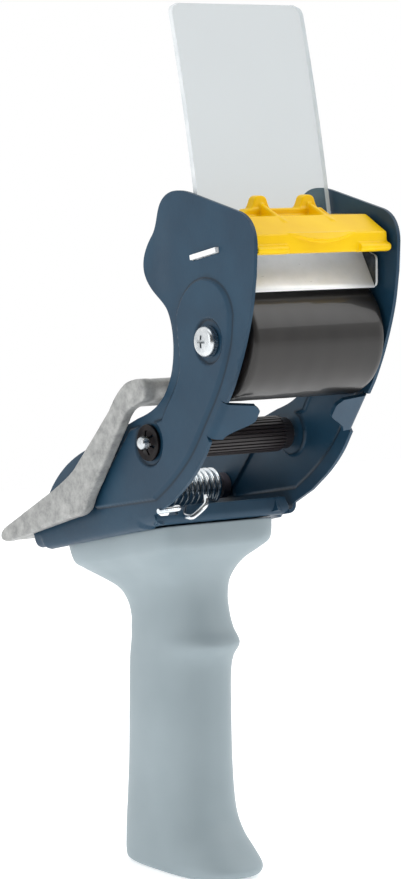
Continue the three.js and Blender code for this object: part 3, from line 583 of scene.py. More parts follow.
def loft(rings, closed=False):
    """A skin over equal rings: closed on itself from the last to the first, or capped at both ends."""
    around = len(rings[0])
    vertices = [p for ring in rings for p in ring]
    faces = []
    for k in range(len(rings) if closed else len(rings) - 1):
        a, b = k * around, (k + 1) % len(rings) * around
        faces += [(a + i, a + (i + 1) % around, b + (i + 1) % around, b + i) for i in range(around)]
    if not closed:
        faces.append(tuple(range(around)))
        faces.append(tuple(range(len(vertices) - 1, len(vertices) - around - 1, -1)))
    return vertices, faces


def sheet_of(outer, inner):
    """A closed sheet between two equal grids of points."""
    rows, columns = len(outer), len(outer[0])
    vertices = [p for row in outer for p in row] + [p for row in inner for p in row]
    far = rows * columns
    faces = []
    for i in range(rows - 1):
        for j in range(columns - 1):
            a = i * columns + j
            quad = (a, a + 1, a + columns + 1, a + columns)
            faces.append(quad)
            faces.append(tuple(v + far for v in reversed(quad)))
    rim = list(range(columns)) + [i * columns + columns - 1 for i in range(1, rows)]
    rim += [(rows - 1) * columns + j for j in range(columns - 2, -1, -1)]
    rim += [i * columns for i in range(rows - 2, 0, -1)]
    faces += [(a, a + far, b + far, b) for a, b in zip(rim, rim[1:] + rim[:1])]
    return vertices, faces


def evaluated(piece):
    """The piece's mesh with its modifiers applied."""
    graph = bpy.context.evaluated_depsgraph_get()
    mesh = bpy.data.meshes.new_from_object(piece.evaluated_get(graph))
    piece.modifiers.clear()
    old = piece.data
    piece.data = mesh
    bpy.data.meshes.remove(old)
    return piece


def melted(name, parts, voxel, soften):
    """Closed parts run together into one moulded body with small fillets where they meet."""
    piece = new_object(name, mesh_of(name, parts))
    face_outwards(piece.data)
    remesh = piece.modifiers.new("remesh", "REMESH")
    remesh.mode = "VOXEL"
    remesh.voxel_size = voxel * MM
    smooth = piece.modifiers.new("soften", "SMOOTH")
    smooth.factor = 0.5
    smooth.iterations = soften
    shade(evaluated(piece).data, 60.0)
    return piece


def carve(piece, part):
    """Cuts a closed part out of a piece."""
    cutter = new_object("cutter", mesh_of("cutter", [part]))
    face_outwards(cutter.data)
    cut = piece.modifiers.new("cut", "BOOLEAN")
    cut.operation = "DIFFERENCE"
    cut.solver = "EXACT"
    cut.object = cutter
    evaluated(piece)
    bpy.data.objects.remove(cutter)
    shade(piece.data, 35.0)


def wire_piece(name, points, radius):
    """A round wire along points."""
    data = bpy.data.curves.new(name, "CURVE")
    data.dimensions = "3D"
    data.bevel_depth = radius * MM
    data.bevel_resolution = 4
    data.use_fill_caps = True
    spline = data.splines.new("POLY")
    spline.points.add(len(points) - 1)
    for knot, p in zip(spline.points, points):
        knot.co = (p[0] * MM, p[1] * MM, p[2] * MM, 1.0)
    curve = new_object(name + "_line", data)
    graph = bpy.context.evaluated_depsgraph_get()
    mesh = bpy.data.meshes.new_from_object(curve.evaluated_get(graph))
    bpy.data.objects.remove(curve)
    mesh.name = name
    mesh.materials.clear()
    mesh.shade_smooth()
    return new_object(name, mesh)


def settle(piece, body, slot_name, node, finish=None):
    """The piece gets the finishes of its slot, or one of its own, and replaces a node of a body."""
    for material in [finish] if finish else FINISHES[slot_name]:
        piece.data.materials.append(material)
    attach(piece, body)
    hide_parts(node)


# ---- folded frame: side plates ----
TAB_TOP = np.array([-53.6, 154.6])
TAB_LOW = np.array([-46.2, 143.6])
TAB_BEND = 2.4
TAB_OPEN = math.radians(82.0)
TAB_REACH = 13.6
DIPS = ((ROLLER, 6.9), (PINCH, 7.3))    # flat rings round the screw and the push nut


def plate_outline():
    """The flat outline of a side plate; where the tab bends inwards it stops short by the bend."""
    along = (TAB_TOP - TAB_LOW) / np.linalg.norm(TAB_TOP - TAB_LOW)
    back = np.array([along[1], -along[0]])
    low = TAB_LOW + back * TAB_BEND
    top = TAB_TOP + back * TAB_BEND
    pen = Pen(on_base(0.2, BEND))
    pen.line(-26.1, 122.8)
    pen.spline([(-35, 129.7), (-41.3, 136.3), TAB_LOW - along * 0.9])
    pen.line(*low).line(*top)
    pen.line(*(TAB_TOP + along * 0.9))
    pen.spline([(-57.6, 161), (-62.2, 171), (-66.1, 183), (-67.9, 194)])
    pen.line(-68.3, 203)
    pen.cubic((-68.1, 208), (-65.6, 211.4), (-60.5, 212.7))
    pen.line(-36.5, 217.6)
    pen.cubic((-30, 219), (-23.4, 218.8), (-20, 214.2))
    pen.cubic((-17.9, 211.4), (-17.8, 207.4), (-15, 204.2))
    pen.cubic((-10.6, 199.4), (-9.2, 195), (-11.6, 191.2))
    pen.cubic((-14.2, 186.8), (-20.6, 185.6), (-23.9, 181.7))
    pen.cubic((-27.6, 176.6), (-28.4, 166.6), (-25, 159.7))
    pen.cubic((-21.6, 152.4), (-15.6, 149.6), (-8.3, 147.2))
    pen.line(20.1, 135.1)
    pen.cubic((31.6, 130.6), (38.6, 124.6), (43.4, 117))
    pen.line(*on_base(70.8, 5.4))
    pen.line(*on_base(69.3, BEND))
    return resample(pen.points, 1.0)


def panel_outline():
    """The raised stiffening panel of a side plate."""
    pen = Pen((-18, 122.6))
    pen.spline([(-27, 129), (-36.6, 138), (-44.4, 149), (-51.4, 160), (-56.4, 172), (-57.6, 182)])
    pen.cubic((-56.6, 188.6), (-50.8, 192.4), (-44.4, 192.4))
    pen.cubic((-37, 192.4), (-31, 186.8), (-29.4, 181))
    pen.cubic((-28.4, 177), (-31.4, 169), (-30.8, 164))
    pen.cubic((-30, 158.4), (-23.4, 152.6), (-21.6, 148))
    pen.line(-4.4, 143.6).line(6.1, 131.6).line(14.6, 121.2).quad((17.6, 117.4), (14.2, 116.7))
    return resample(pen.points, 0.7)


def shelf_section(half, thick):
    return [on_shelf(-half, -thick), on_shelf(half, -thick), on_shelf(half, thick), on_shelf(-half, thick)]


def slot_outline():
    """The slot that a tab of the cutter bracket passes through."""
    return resample(shelf_section(SHELF_HALF + 0.12, SHELF_THICK / 2 + 0.1), 0.9)


def plate_relief(points):
    """How far the plate stands out at points: the raised panel, the dips round the screw and nut,
    and the rear ear leaning slightly inwards; and how much shade is painted at the foot of each step."""
    depth, side = depth_in(panel_outline(), points)
    step_width = 0.7 + np.clip(side[:, 1] * 1.4 - 0.25, 0, 1)
    raised = EMBOSS * step(depth / step_width, -0.1, 1.0)
    # painted shade along the outer foot of the panel's step
    foot = np.exp(-((depth + 0.12) / 0.34) ** 2)
    for centre, radius in DIPS:
        reach = np.linalg.norm(points - np.array(centre), axis=1)
        # painted shade in a ring just inside the rim of each dip, in place of the step's shade there
        ring = np.exp(-((reach - radius + 0.35) / 0.4) ** 2) * (depth > 0)
        foot = np.maximum(foot * (reach > radius), ring)
        raised *= step(reach, radius - 0.4, radius + 0.4)
    ear = step(points[:, 0], -27.0, -15.0)
    ear = ear * step(points[:, 1], 184.0, 190.0) * step(points[:, 1], 217.0, 204.0)
    return raised - 0.55 * ear, foot


def grid_over(outline, spacing):
    low, high = outline.min(0), outline.max(0)
    ways = np.meshgrid(np.arange(low[0], high[0], spacing), np.arange(low[1], high[1], spacing))
    return np.stack(ways, -1).reshape(-1, 2)


def plate_mesh_2d():
    """The plate's outline and holes filled with triangles, fine along each pressed step."""
    outline = plate_outline()
    holes = [circle(ROLLER, 2.4, 20), circle(PINCH, 2.4, 20), circle(PIVOT, 2.85, 22), slot_outline()]
    coarse, fine = grid_over(outline, 1.5), grid_over(outline, 0.4)
    fine_depth = depth_in(panel_outline(), fine)[0]
    wanted = (fine_depth > -0.8) & (fine_depth < 1.9)
    for centre, radius in DIPS:
        wanted |= abs(np.linalg.norm(fine - np.array(centre), axis=1) - radius) < 1.1
    coarse_depth = depth_in(panel_outline(), coarse)[0]
    inside = np.concatenate([fine[wanted], coarse[(coarse_depth < -1.0) | (coarse_depth > 2.1)]])
    inside = inside[depth_in(outline, inside)[0] > 0.5]
    for hole in holes:
        inside = inside[depth_in(hole, inside)[0] < -0.45]
    points = list(inside)
    edges = []
    for loop in [outline] + holes:
        start = len(points)
        points += list(loop)
        edges += [(start + i, start + (i + 1) % len(loop)) for i in range(len(loop))]
    found = delaunay_2d_cdt([Vector(p) for p in points], edges, [], 0, 1e-4)
    flat = np.array([tuple(v) for v in found[0]])
    triangles = np.array([tuple(f) for f in found[2]])
    middle = flat[triangles].mean(1)
    good = depth_in(outline, middle)[0] > 0
    for hole in holes:
        good &= depth_in(hole, middle)[0] < 0
    return flat, triangles[good]


def tab_parts(side):
    """The flange at the front edge, bent inwards through a round fold."""
    along = (TAB_LOW - TAB_TOP) / np.linalg.norm(TAB_LOW - TAB_TOP)
    forward = np.array([along[1], -along[0]])
    length = float(np.linalg.norm(TAB_LOW - TAB_TOP))

    def reach_at(t):
        top_round = 2.4 * (1 - step(t, 0.0, 2.6)) ** 2
        low_run = step(t, 5.4, length) ** 0.9
        return TAB_REACH - top_round - low_run * (TAB_REACH - 5.0)

    def grid(radius):
        rows = []
        for t in np.linspace(0, length, 26):
            line = TAB_TOP + along * t - forward * TAB_BEND
            row = arc((0.0, TAB_BEND), radius, -math.pi / 2, TAB_OPEN, 8)
            tip = row[-1]
            for k in range(1, 15):
                run = (reach_at(t) - TAB_BEND) * k / 14
                row.append((tip[0] + run * math.cos(TAB_OPEN), tip[1] + run * math.sin(TAB_OPEN)))
            rows.append([(side * (FRAME_HALF - inward), *(line + forward * ahead)) for ahead, inward in row])
        return rows

    return sheet_of(grid(TAB_BEND), grid(TAB_BEND - SHEET))


def near_seam(point):
    """True on the lower edge of a side plate, where the sheet runs on into the fold of the base."""
    return above_base(point[1], point[2]) < BEND + 0.05


def side_plate(name, node, side, flat, triangles):
    """Two skins of the flat plate, a sheet apart and pressed to its relief, their open edges joined."""
    relief, foot = plate_relief(flat)
    outer = [(side * (FRAME_HALF + h), y, z) for (y, z), h in zip(flat, relief)]
    inner = [(side * (FRAME_HALF + h - SHEET), y, z) for (y, z), h in zip(flat, relief)]
    n = len(flat)
    faces = [tuple(t) for t in triangles] + [tuple(i + n for i in reversed(t)) for t in triangles]
    count = {}
    for t in triangles:
        for a, b in ((t[0], t[1]), (t[1], t[2]), (t[2], t[0])):
            count.setdefault((min(a, b), max(a, b)), []).append((a, b))
    faces += [(b, a, a + n, b + n) for ways in count.values() if len(ways) == 1 for a, b in ways]
    used = set(int(i) for t in triangles for i in t)
    index = {old: new for new, old in enumerate(sorted(used | {i + n for i in used}))}
    kept = [(outer + inner)[old] for old in index]
    faces = [tuple(index[int(i)] for i in f) for f in faces]
    tab_points, tab_faces = tab_parts(side)
    mesh = mesh_of(name, [(kept, faces), (tab_points, tab_faces)])
    # the painted shade at the foot of each step goes on both skins as a point attribute; the tab gets none
    painted_shade = np.concatenate([np.concatenate([foot, foot])[list(index)], np.zeros(len(tab_points))])
    painted_crease_shade = mesh.attributes.new("painted_crease_shade", "FLOAT", "POINT")
    painted_crease_shade.data.foreach_set("value", painted_shade.astype(np.float32))
    finish_mesh(mesh, 0.24, 2, 50.0, near_seam, True)
    settle(new_object(name, mesh), "frame", "frame_paint", node)


# ---- folded frame: base ----
def base_web():
    """The tilted floor with a fold up each side and a lip bent up at the front."""
    corner = FRAME_HALF - BEND

    def section(offset):
        """Across the channel: down the left fold, along the floor, up the right fold."""
        radius = BEND - offset
        floor_points = [(-corner + 2 * corner * k / 24, offset) for k in range(1, 24)]
        return (arc((-corner, BEND), radius, math.pi, math.pi / 2, 8) + floor_points
                + arc((corner, BEND), radius, 1.5 * math.pi, math.pi / 2, 8))

    def channel(offset):
        """The folds are pressed out a little along their length; the pressing ends in a crescent."""
        rows = []
        for t in np.linspace(0, 1, 110):
            row = []
            for x, up in section(offset):
                # the floor starts behind the lip's bend, and the folds start at the front edge
                start = 0.25 + (TAB_BEND - 0.25) * (1 - float(step(abs(x), 22.6, 24.4)))
                back = start + (BASE_LENGTH - start) * t
                low = float(step(abs(x), 22.4, 25.2)) * float(step(up, 3.1, 1.2))
                rise = min(max(up, 0.0) / BEND, 1.0)
                front_end, rear_end = 4.6 + 6.0 * rise ** 0.6, 63.4 + 2.6 * rise
                swell = float(step(back, front_end, front_end + 0.9) * step(back, rear_end + 0.9, rear_end))
                swell *= low * (0.8 + 0.5 * back / BASE_LENGTH)
                spread = math.copysign(0.3 * swell, x)
                droop = float(step(abs(x), 20.0, 25.2)) * float(step(up, 3.1, 1.0)) * back / BASE_LENGTH
                row.append((x + spread, *on_base(back, up - 0.9 * swell - 0.9 * droop)))
            rows.append(row)
        return rows

    def lip(offset):
        """Notched at the left, on both sides of a tooth, where the arm spring hooks over it."""
        radius = TAB_BEND - offset
        rows = []
        for x in np.linspace(-26.9, 24.5, 90):
            notch = float(step(x, -15.0, -15.8)) * float(step(x, -26.2, -25.4))
            tooth = float(step(x, -18.6, -18.2)) * float(step(x, -16.6, -17.0))
            right_corner, left_corner = float(step(x, 22.8, 24.4)) ** 2, float(step(x, -25.2, -26.2))
            top = LIP - notch * (2.7 - 1.5 * tooth) - 2.9 * right_corner - 1.4 * left_corner
            bend = arc((TAB_BEND, TAB_BEND), radius, 1.5 * math.pi, -math.pi / 2, 7)
            wall = [(offset, TAB_BEND + (top - TAB_BEND) * k / 5) for k in range(1, 6)]
            rows.append([(x, *on_base(back, up)) for back, up in bend + wall])
        return rows

    # a small dart pressed into the fold by the right corner stiffens the lip
    dart_x, foot = 19.6, 1.9
    apex = (dart_x, *on_base(0.0, 4.9))
    dart = [(dart_x - foot, *on_base(0.1, 0.9)), (dart_x + foot, *on_base(0.1, 0.9)), apex,
            (dart_x, *on_base(-0.75, 1.3)), (dart_x, *on_base(1.1, 2.0))]
    dart_faces = [(0, 1, 3), (1, 2, 3), (2, 0, 3), (1, 0, 4), (2, 1, 4), (0, 2, 4)]

    def at_seam(point):
        high = above_base(point[1], point[2]) > BEND - 0.05
        return high and abs(point[0]) > FRAME_HALF - SHEET - 0.2

    parts = [sheet_of(channel(0.0), channel(SHEET)), sheet_of(lip(0.0), lip(SHEET)), (dart, dart_faces)]
    mesh = finish_mesh(mesh_of("base_channel", parts), 0.22, 2, 50.0, at_seam, True)
    settle(new_object("base_channel", mesh), "frame", "frame_paint", "base_web")


# ---- grip ----
def saddle(back0, back1, up, half, squareness):
    """A ring of the grip's head, given along the tilted base that it carries."""
    return (*on_base(back0, up), *on_base(back1, up), half, *squareness)


# front y, z; rear y, z; half width; squareness of the front and of the rear half
GRIP_RINGS = [
    (-22.8, 0.0, 22.8, 0.0, 12.6, 2.6, 4.0),
    (-26.0, 1.2, 24.8, 1.2, 14.1, 2.7, 4.0),
    (-27.2, 3.8, 25.4, 3.8, 14.4, 2.7, 4.0),
    (-23.8, 7.4, 25.8, 7.4, 14.2, 2.6, 3.8),
    (-17.6, 12.6, 26.3, 12.6, 13.9, 2.5, 3.4),
    (-13.6, 20.0, 26.6, 20.0, 13.6, 2.4, 3.0),
    (-12.2, 34.0, 26.8, 34.0, 13.2, 2.3, 2.7),
    (-11.6, 52.0, 27.0, 52.0, 13.0, 2.3, 2.6),
    (-11.7, 64.0, 26.9, 64.0, 12.9, 2.3, 2.6),
    (-13.2, 69.5, 26.7, 68.0, 12.9, 2.3, 2.6),
    (-16.6, 74.2, 26.3, 72.0, 13.0, 2.3, 2.6),
    (-12.8, 78.4, 25.8, 76.0, 13.0, 2.3, 2.6),
    (-10.4, 83.0, 25.6, 80.0, 13.0, 2.3, 2.6),
    (-8.8, 89.0, 26.8, 84.2, 13.2, 2.4, 2.8),
    (-9.2, 95.0, 30.2, 88.0, 14.2, 2.6, 3.2),
    (-11.6, 100.6, 37.2, 91.2, 17.0, 3.4, 4.2),
    saddle(5.0, 59.6, -9.2, 20.6, (5.0, 6.0)),
    saddle(3.2, 61.8, -6.6, 22.4, (7.0, 7.0)),
    saddle(2.6, 62.6, -0.5, 23.0, (8.0, 8.0)),
]


def grip():
    """Rounded rings, squarer at the head and the foot, skinned from the foot up."""
    around = 144
    rings = []
    for y0, z0, y1, z1, half, front_square, rear_square in smooth_path(GRIP_RINGS, 7):
        middle = np.array([(y0 + y1) / 2, (z0 + z1) / 2])
        axis = np.array([(y1 - y0) / 2, (z1 - z0) / 2])
        ring = []
        for i in range(around):
            a = 2 * math.pi * i / around
            c, s = math.cos(a), math.sin(a)
            power = 2 / (front_square if c < 0 else rear_square)
            y, z = middle + axis * math.copysign(abs(c) ** power, c)
            ring.append((math.copysign(abs(s) ** power, s) * half, y, max(z, 0.0)))
        rings.append(ring)
    mesh = finish_mesh(mesh_of("pistol_grip", [loft(rings)]), 0.5, 3, 55.0, sharp=50.0)
    settle(new_object("pistol_grip", mesh), "frame", "grip_plastic", "handle")


# ---- turned pieces ----
def cross_recess(x_face, deep, side, centre, long=2.35, wide=0.48):
    """Two crossed wedges that narrow with depth, for a cross-head recess."""
    parts = []
    for turn in (0, 1):
        near, far = (long, wide), (long * 0.35, wide * 0.6)
        vertices = []
        for (a, b), x in ((near, x_face + side * 0.5), (far, x_face - side * deep)):
            for p, q in ((-a, -b), (a, -b), (a, b), (-a, b)):
                y, z = (p, q) if turn == 0 else (q, p)
                vertices.append((x, centre[0] + y, centre[1] + z))
        faces = [(0, 1, 2, 3), (7, 6, 5, 4), (0, 4, 5, 1), (1, 5, 6, 2), (2, 6, 7, 3), (3, 7, 4, 0)]
        parts.append((vertices, faces))
    return parts


def pan_profile(radius, height, shank, length):
    """A pan-head screw along X with the underside of its head at x = 0: (radius, x) points."""
    head = [(radius, 0.0), (radius, height * 0.42)]
    for k in range(1, 9):
        a = (math.pi / 2) * k / 8
        head.append((radius * (1 - 0.34 * (1 - math.cos(a))), height * (0.42 + 0.5 * math.sin(a))))
    return [(0.0, -length), (shank, -length), (shank, 0.0)] + head + [(0.0, height)]


def seated(profile, side):
    """A profile moved out onto the outer face of the left (-1) or right (1) plate, facing outwards."""
    return [(radius, side * (FRAME_HALF + GAP + x)) for radius, x in profile]


def roller_screws():
    height = 3.3
    for name, side in (("roller_screw_left", -1), ("roller_screw_right", 1)):
        profile = seated(pan_profile(4.75, height, 1.75, 14.0), side)
        piece = turned_piece(name + "_head", profile, ROLLER, 0.12, 64)
        for wedge in cross_recess(side * (FRAME_HALF + GAP + height), 2.0, side, ROLLER):
            carve(piece, wedge)
        settle(piece, "frame", "zinc_steel", name)


def roller_sleeve():
    """The rubber, its edges rounded and its surface very slightly wavy from moulding."""
    r, half = ROLLER_R, ROLLER_HALF
    profile = [(ROLLER_BORE, -half), (r - 1.1, -half), (r - 0.35, -half + 0.3), (r, -half + 1.1)]
    profile += [(r - 0.02 * math.sin(k * 0.9), -half + 1.1 + (2 * half - 2.2) * k / 40)
                for k in range(1, 40)]
    profile += [(r, half - 1.1), (r - 0.35, half - 0.3), (r - 1.1, half), (ROLLER_BORE, half),
                (ROLLER_BORE, -half)]
    mesh = finish_mesh(mesh_of("roller_tyre", [lathe(profile, ROLLER, 160)]))
    settle(new_object("roller_tyre", mesh), "front_roller", "roller_rubber", "roller_sleeve")


def roller_core():
    """A hub and a rim joined by a thick disc, with six ribs on each side of it."""
    rim, hub, bore = ROLLER_BORE - GAP, 6.6, 4.6
    half, face = ROLLER_HALF, ROLLER_HALF - 5.2
    right = [(rim, half - 0.2), (rim - 2.2, half - 0.2), (rim - 2.2, face), (hub, face),
             (hub, half + 0.7), (bore, half + 0.7)]
    left = [(r, -x) for r, x in reversed(right)]
    parts = [lathe(left + right + left[:1], ROLLER, 96)]
    for side in (-1, 1):
        for k in range(6):
            rib = bar_outline(ROLLER, k * math.pi / 3, 6.2, rim - 1.8, 0.7)
            parts.append(side_prism(rib, side, face - 0.4, half - 1.2))
    mesh = finish_mesh(mesh_of("roller_hub", parts), 0.18, 2, 40.0)
    settle(new_object("roller_hub", mesh), "front_roller", "black_plastic", "roller_core")


def roller_axle():
    end = FRAME_HALF - SHEET - GAP
    axle = [(2.05, -end), (4.2, -end), (4.2, end), (2.05, end), (2.05, -end)]
    settle(turned_piece("roller_axle_tube", axle, ROLLER, 0.3, 48), "frame", "zinc_steel", "roller_axle")


def pinch_roller():
    """A fluted roller with round-bottomed grooves and turned-down ends."""
    count = FLUTES * 12
    angles = [2 * math.pi * i / count for i in range(count)]
    ends = [(-PINCH_HALF + x, scale) for x, scale in ((0, 0.82), (0.4, 0.88), (3.2, 0.88), (3.9, 1.0))]
    stations = ends + [(x, 1.0) for x in np.linspace(-20, 20, 9)] + [(-x, k) for x, k in reversed(ends)]

    def ring(x, radii):
        return [(x, PINCH[0] + r * math.cos(a), PINCH[1] + r * math.sin(a)) for r, a in zip(radii, angles)]

    fluted = [PINCH_R - 0.5 * float(step(0.5 + 0.5 * math.cos(a * FLUTES), 0.5, 0.98)) for a in angles]
    rings = [ring(x, [min(PINCH_R * scale, r) for r in fluted]) for x, scale in stations]
    rings += [ring(x, [PINCH_BORE] * count) for x in (PINCH_HALF, -PINCH_HALF)]
    mesh = finish_mesh(mesh_of("fluted_roller", [loft(rings, closed=True)]), sharp=45.0)
    settle(new_object("fluted_roller", mesh), "pinch_roller", "black_plastic", "pinch_roller")


def pinch_pin():
    half = FRAME_HALF + 4.4
    pin = [(0.0, -half - 0.1), (1.1, -half + 0.02), (1.8, -half + 0.4), (2.0, -half + 0.9),
           (2.0, half - 0.9), (1.8, half - 0.4), (1.1, half - 0.02), (0.0, half + 0.1)]
    settle(turned_piece("pinch_roller_pin", pin, PINCH, 0.0, 48), "frame", "zinc_steel", "pinch_pin")


def push_nut(name, node, body, centre, side, radius, bore):
    """A dished spring nut with tongues round its bore."""
    profile = [(bore, 1.5), (bore, 0.95), (radius * 0.62, 0.25), (radius * 0.72, 0.0), (radius - 0.15, 0.0),
               (radius, 0.2), (radius, 0.8), (radius - 0.15, 0.98), (radius * 0.74, 0.9),
               (radius * 0.66, 0.86), (bore, 1.5)]
    piece = turned_piece(name, seated(profile, side), centre, 0.0, 72)
    for k in range(3):
        slot = bar_outline(centre, k * math.pi / 3 + 0.3, -radius * 0.68, radius * 0.68, 0.42)
        carve(piece, side_prism(slot, side, FRAME_HALF + GAP - 1, FRAME_HALF + GAP + 3))
    settle(piece, body, "black_steel", node)


def handle_screws():
    """Made along X, then turned upright on the tilted floor."""
    height = 2.4
    for name, back in HANDLE_SCREWS.items():
        piece = turned_piece(name + "_head", pan_profile(4.0, height, 1.75, 11.0), (0.0, 0.0), 0.1, 56)
        for wedge in cross_recess(height, 1.6, 1, (0.0, 0.0), 2.0, 0.42):
            carve(piece, wedge)
        y, z = on_base(back, SHEET + GAP)
        tilt = Matrix.Rotation(BASE_TILT, 4, "X") @ Matrix.Rotation(-math.pi / 2, 4, "Y")
        piece.data.transform(Matrix.Translation(Vector((0, y, z)) * MM) @ tilt)
        settle(piece, "frame", "zinc_steel", name)


# ---- roll arm and its spring ----
ARM_OUTER, ARM_INNER = 33.4, 29.4


def arm_outline():
    """The side view of the arm: its finger end, the elbow, the eye at the pivot and the thumb tail."""
    pen = Pen((-16.4, 152.8))
    pen.line(-11.2, 150.8).quad((-8.4, 149.6), (-6.6, 146.4)).line(7.8, 126.2)
    pen.quad((11.8, 121.4), (13.4, 117.6)).quad((15.6, 114.4), (21.4, 113.4))
    pen.line(43.6, 106.6).line(59.6, 101.6)
    pen.quad((63.4, 101.2), (63.2, 103.6)).quad((63, 105.2), (59.9, 106.8))
    pen.line(31, 122).quad((25, 125.4), (20.4, 128.8)).line(0.6, 149)
    pen.quad((-4.2, 156.2), (-8.2, 158)).quad((-12, 160.4), (-17.6, 160.4))
    pen.quad((-19.6, 160), (-19.4, 156.6)).quad((-19.2, 153.8), (-16.4, 152.8))
    return pen.points[:-1]


def finger_outline():
    """The section of the finger that reaches across through the roll."""
    pen = Pen((-15.6, 152.9))
    pen.line(-9.8, 151).quad((-5.6, 150.6), (-5.2, 153.6)).quad((-5.4, 157.2), (-9, 158.8))
    pen.quad((-12.6, 160.2), (-17, 160.1)).quad((-19.2, 159.8), (-19, 156.8))
    pen.quad((-18.8, 153.8), (-15.6, 152.9))
    return pen.points[:-1]


def pad_outline():
    """The section of the thumb pad at the end of the tail."""
    pen = Pen((54.8, 104.2))
    pen.line(59.6, 101.8).quad((63, 101.4), (62.9, 103.6)).quad((62.6, 105.2), (59.9, 106.5))
    pen.line(56.4, 107.9).quad((53.4, 107.2), (54.8, 104.2))
    return pen.points[:-1]


def roll_arm():
    boss = [(0.0, -31.5), (5.2, -31.5), (5.2, -ARM_INNER + 0.5), (4.7, -ARM_INNER + 0.9),
            (0.0, -ARM_INNER + 0.9)]
    parts = [prism(arm_outline(), -ARM_OUTER, -ARM_INNER), prism(finger_outline(), -ARM_OUTER + 0.6, 17),
             prism(pad_outline(), -ARM_OUTER + 0.6, -10), lathe(boss, PIVOT, 48)]
    settle(melted("cast_roll_arm", parts, 0.5, 9), "roll_arm", "cast_metal", "roll_arm")


def arm_shaft_and_bush():
    tip = FRAME_HALF + 3.4
    shaft = [(0.0, -30.0), (2.5, -30.0), (2.5, tip - 0.5), (2.0, tip), (0.0, tip)]
    settle(turned_piece("arm_pivot_shaft", shaft, PIVOT, 0.0, 48), "roll_arm", "zinc_steel", "arm_shaft")
    start, end = 23.4, FRAME_HALF - SHEET - GAP
    bush = [(2.8, start), (4.2, start), (4.2, end), (2.8, end), (2.8, start)]
    settle(turned_piece("arm_shaft_bush", bush, PIVOT, 0.3, 48),
           "roll_arm", "black_plastic", "shaft_bush", BUSH_PLASTIC)


def arm_spring():
    """A coil round the shaft and a leg that crosses the lip, goes round its tooth and rests on it."""
    radius, turns = 5.35, 14
    coil = helix(PIVOT, radius, -8.8, 22.2, 1.5 * math.pi, -turns, turns * 30)
    leg = [coil[-1], (20.6, PIVOT[0] - 3.4, PIVOT[1] - radius - 0.5), (6, 1.6, 118.6), (-6, -14.2, 121.6),
           (-9.6, -19.0, 119.9), (-14.6, -19.6, 116.8), (-15.9, -18.4, 116.5), (-16.3, -15.6, 116.9),
           (-17.6, -14.8, 118.0), (-19.0, -15.8, 119.2), (-20.0, -18.8, 119.7), (-21.6, -20.1, 119.6),
           (-28.6, -20.2, 119.3)]
    piece = wire_piece("arm_torsion_spring", coil + smooth_path(leg, 10)[1:], 0.85)
    settle(piece, "frame", "zinc_steel", "arm_spring", SPRING_WIRE)


# ---- cutter ----
def cutter_bracket():
    """Bright sheet: a shelf, a round bend, the front apron with a rolled hem, cheeks and ears."""
    t = SHELF_THICK / 2
    pen = Pen(on_shelf(-8.6, -t))
    pen.line(*on_shelf(-8.6, t)).line(*on_shelf(7.0, t))
    pen.quad(on_shelf(9.6, t), (-54.4, 198.6), 8)
    pen.line(-59.5, 190.5).quad((-60.3, 189.4), (-60.2, 188.8), 5).quad((-59.8, 188.2), (-59.1, 188.8), 5)
    pen.line(-58.6, 189.6).line(*on_shelf(8.2, -t))
    tab_reach = FRAME_HALF + 1.25
    parts = [prism(pen.points, -24.6, 24.6),
             prism(shelf_section(SHELF_HALF, t - 0.1), -tab_reach, tab_reach)]
    ear_r = 2.7
    ear = Pen(on_shelf(-1.6, 0)).line(*on_shelf(3, 0)).line(GUARD_PIN[0] - ear_r, GUARD_PIN[1] - 0.6)
    ear.arc(GUARD_PIN, ear_r, math.pi, -math.pi)
    cheek = Pen(on_shelf(7.4, 0)).line(-59.8, 198.6).quad((-60.8, 198.2), (-60.8, 196.8))
    cheek.line(-60.9, 190.6).quad((-60.8, 188.9), (-59.6, 188.9)).line(-52.6, 195.4).line(*on_shelf(3, 0))
    for side in (-1, 1):
        parts.append(side_prism(ear.points, side, 21.8, 22.9))
        parts.append(side_prism(cheek.points, side, 24.2, 25.1))
    mesh = finish_mesh(mesh_of("cutter_bracket_sheet", parts), 0.2, 2, 40.0)
    # painted shade: the cheeks' inner faces take the dark copy of the chrome
    for face in mesh.polygons:
        inner_cheek = abs(face.normal.x) > 0.9 and 24.0 < abs(face.center.x / MM) < 24.5
        face.material_index = 1 if inner_cheek else 0
    settle(new_object("cutter_bracket_sheet", mesh), "frame", "bright_chrome", "cutter_bracket")


def keep_node(node, material):
    """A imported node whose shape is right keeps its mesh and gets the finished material."""
    slots = frame["nodes"][node].data.materials
    slots.clear()
    slots.append(material)


def guard_pin_and_spring():
    half = 24.5
    pin = [(0.0, -half), (1.1, -half), (1.5, -half + 0.4), (1.5, half - 0.4), (1.1, half), (0.0, half)]
    settle(turned_piece("guard_hinge_pin", pin, GUARD_PIN, 0.0, 40), "frame", "zinc_steel", "guard_pin")
    coil_half = 5.5
    points = [(-coil_half, GUARD_PIN[0] + 2.2, 202.6)]
    points += helix(GUARD_PIN, 2.35, -coil_half, coil_half, 0.0, 7.5, 180)
    points.append((coil_half, GUARD_PIN[0] - 9, 207.6))
    piece = wire_piece("guard_torsion_spring", points, 0.4)
    settle(piece, "frame", "zinc_steel", "guard_spring", SPRING_WIRE)


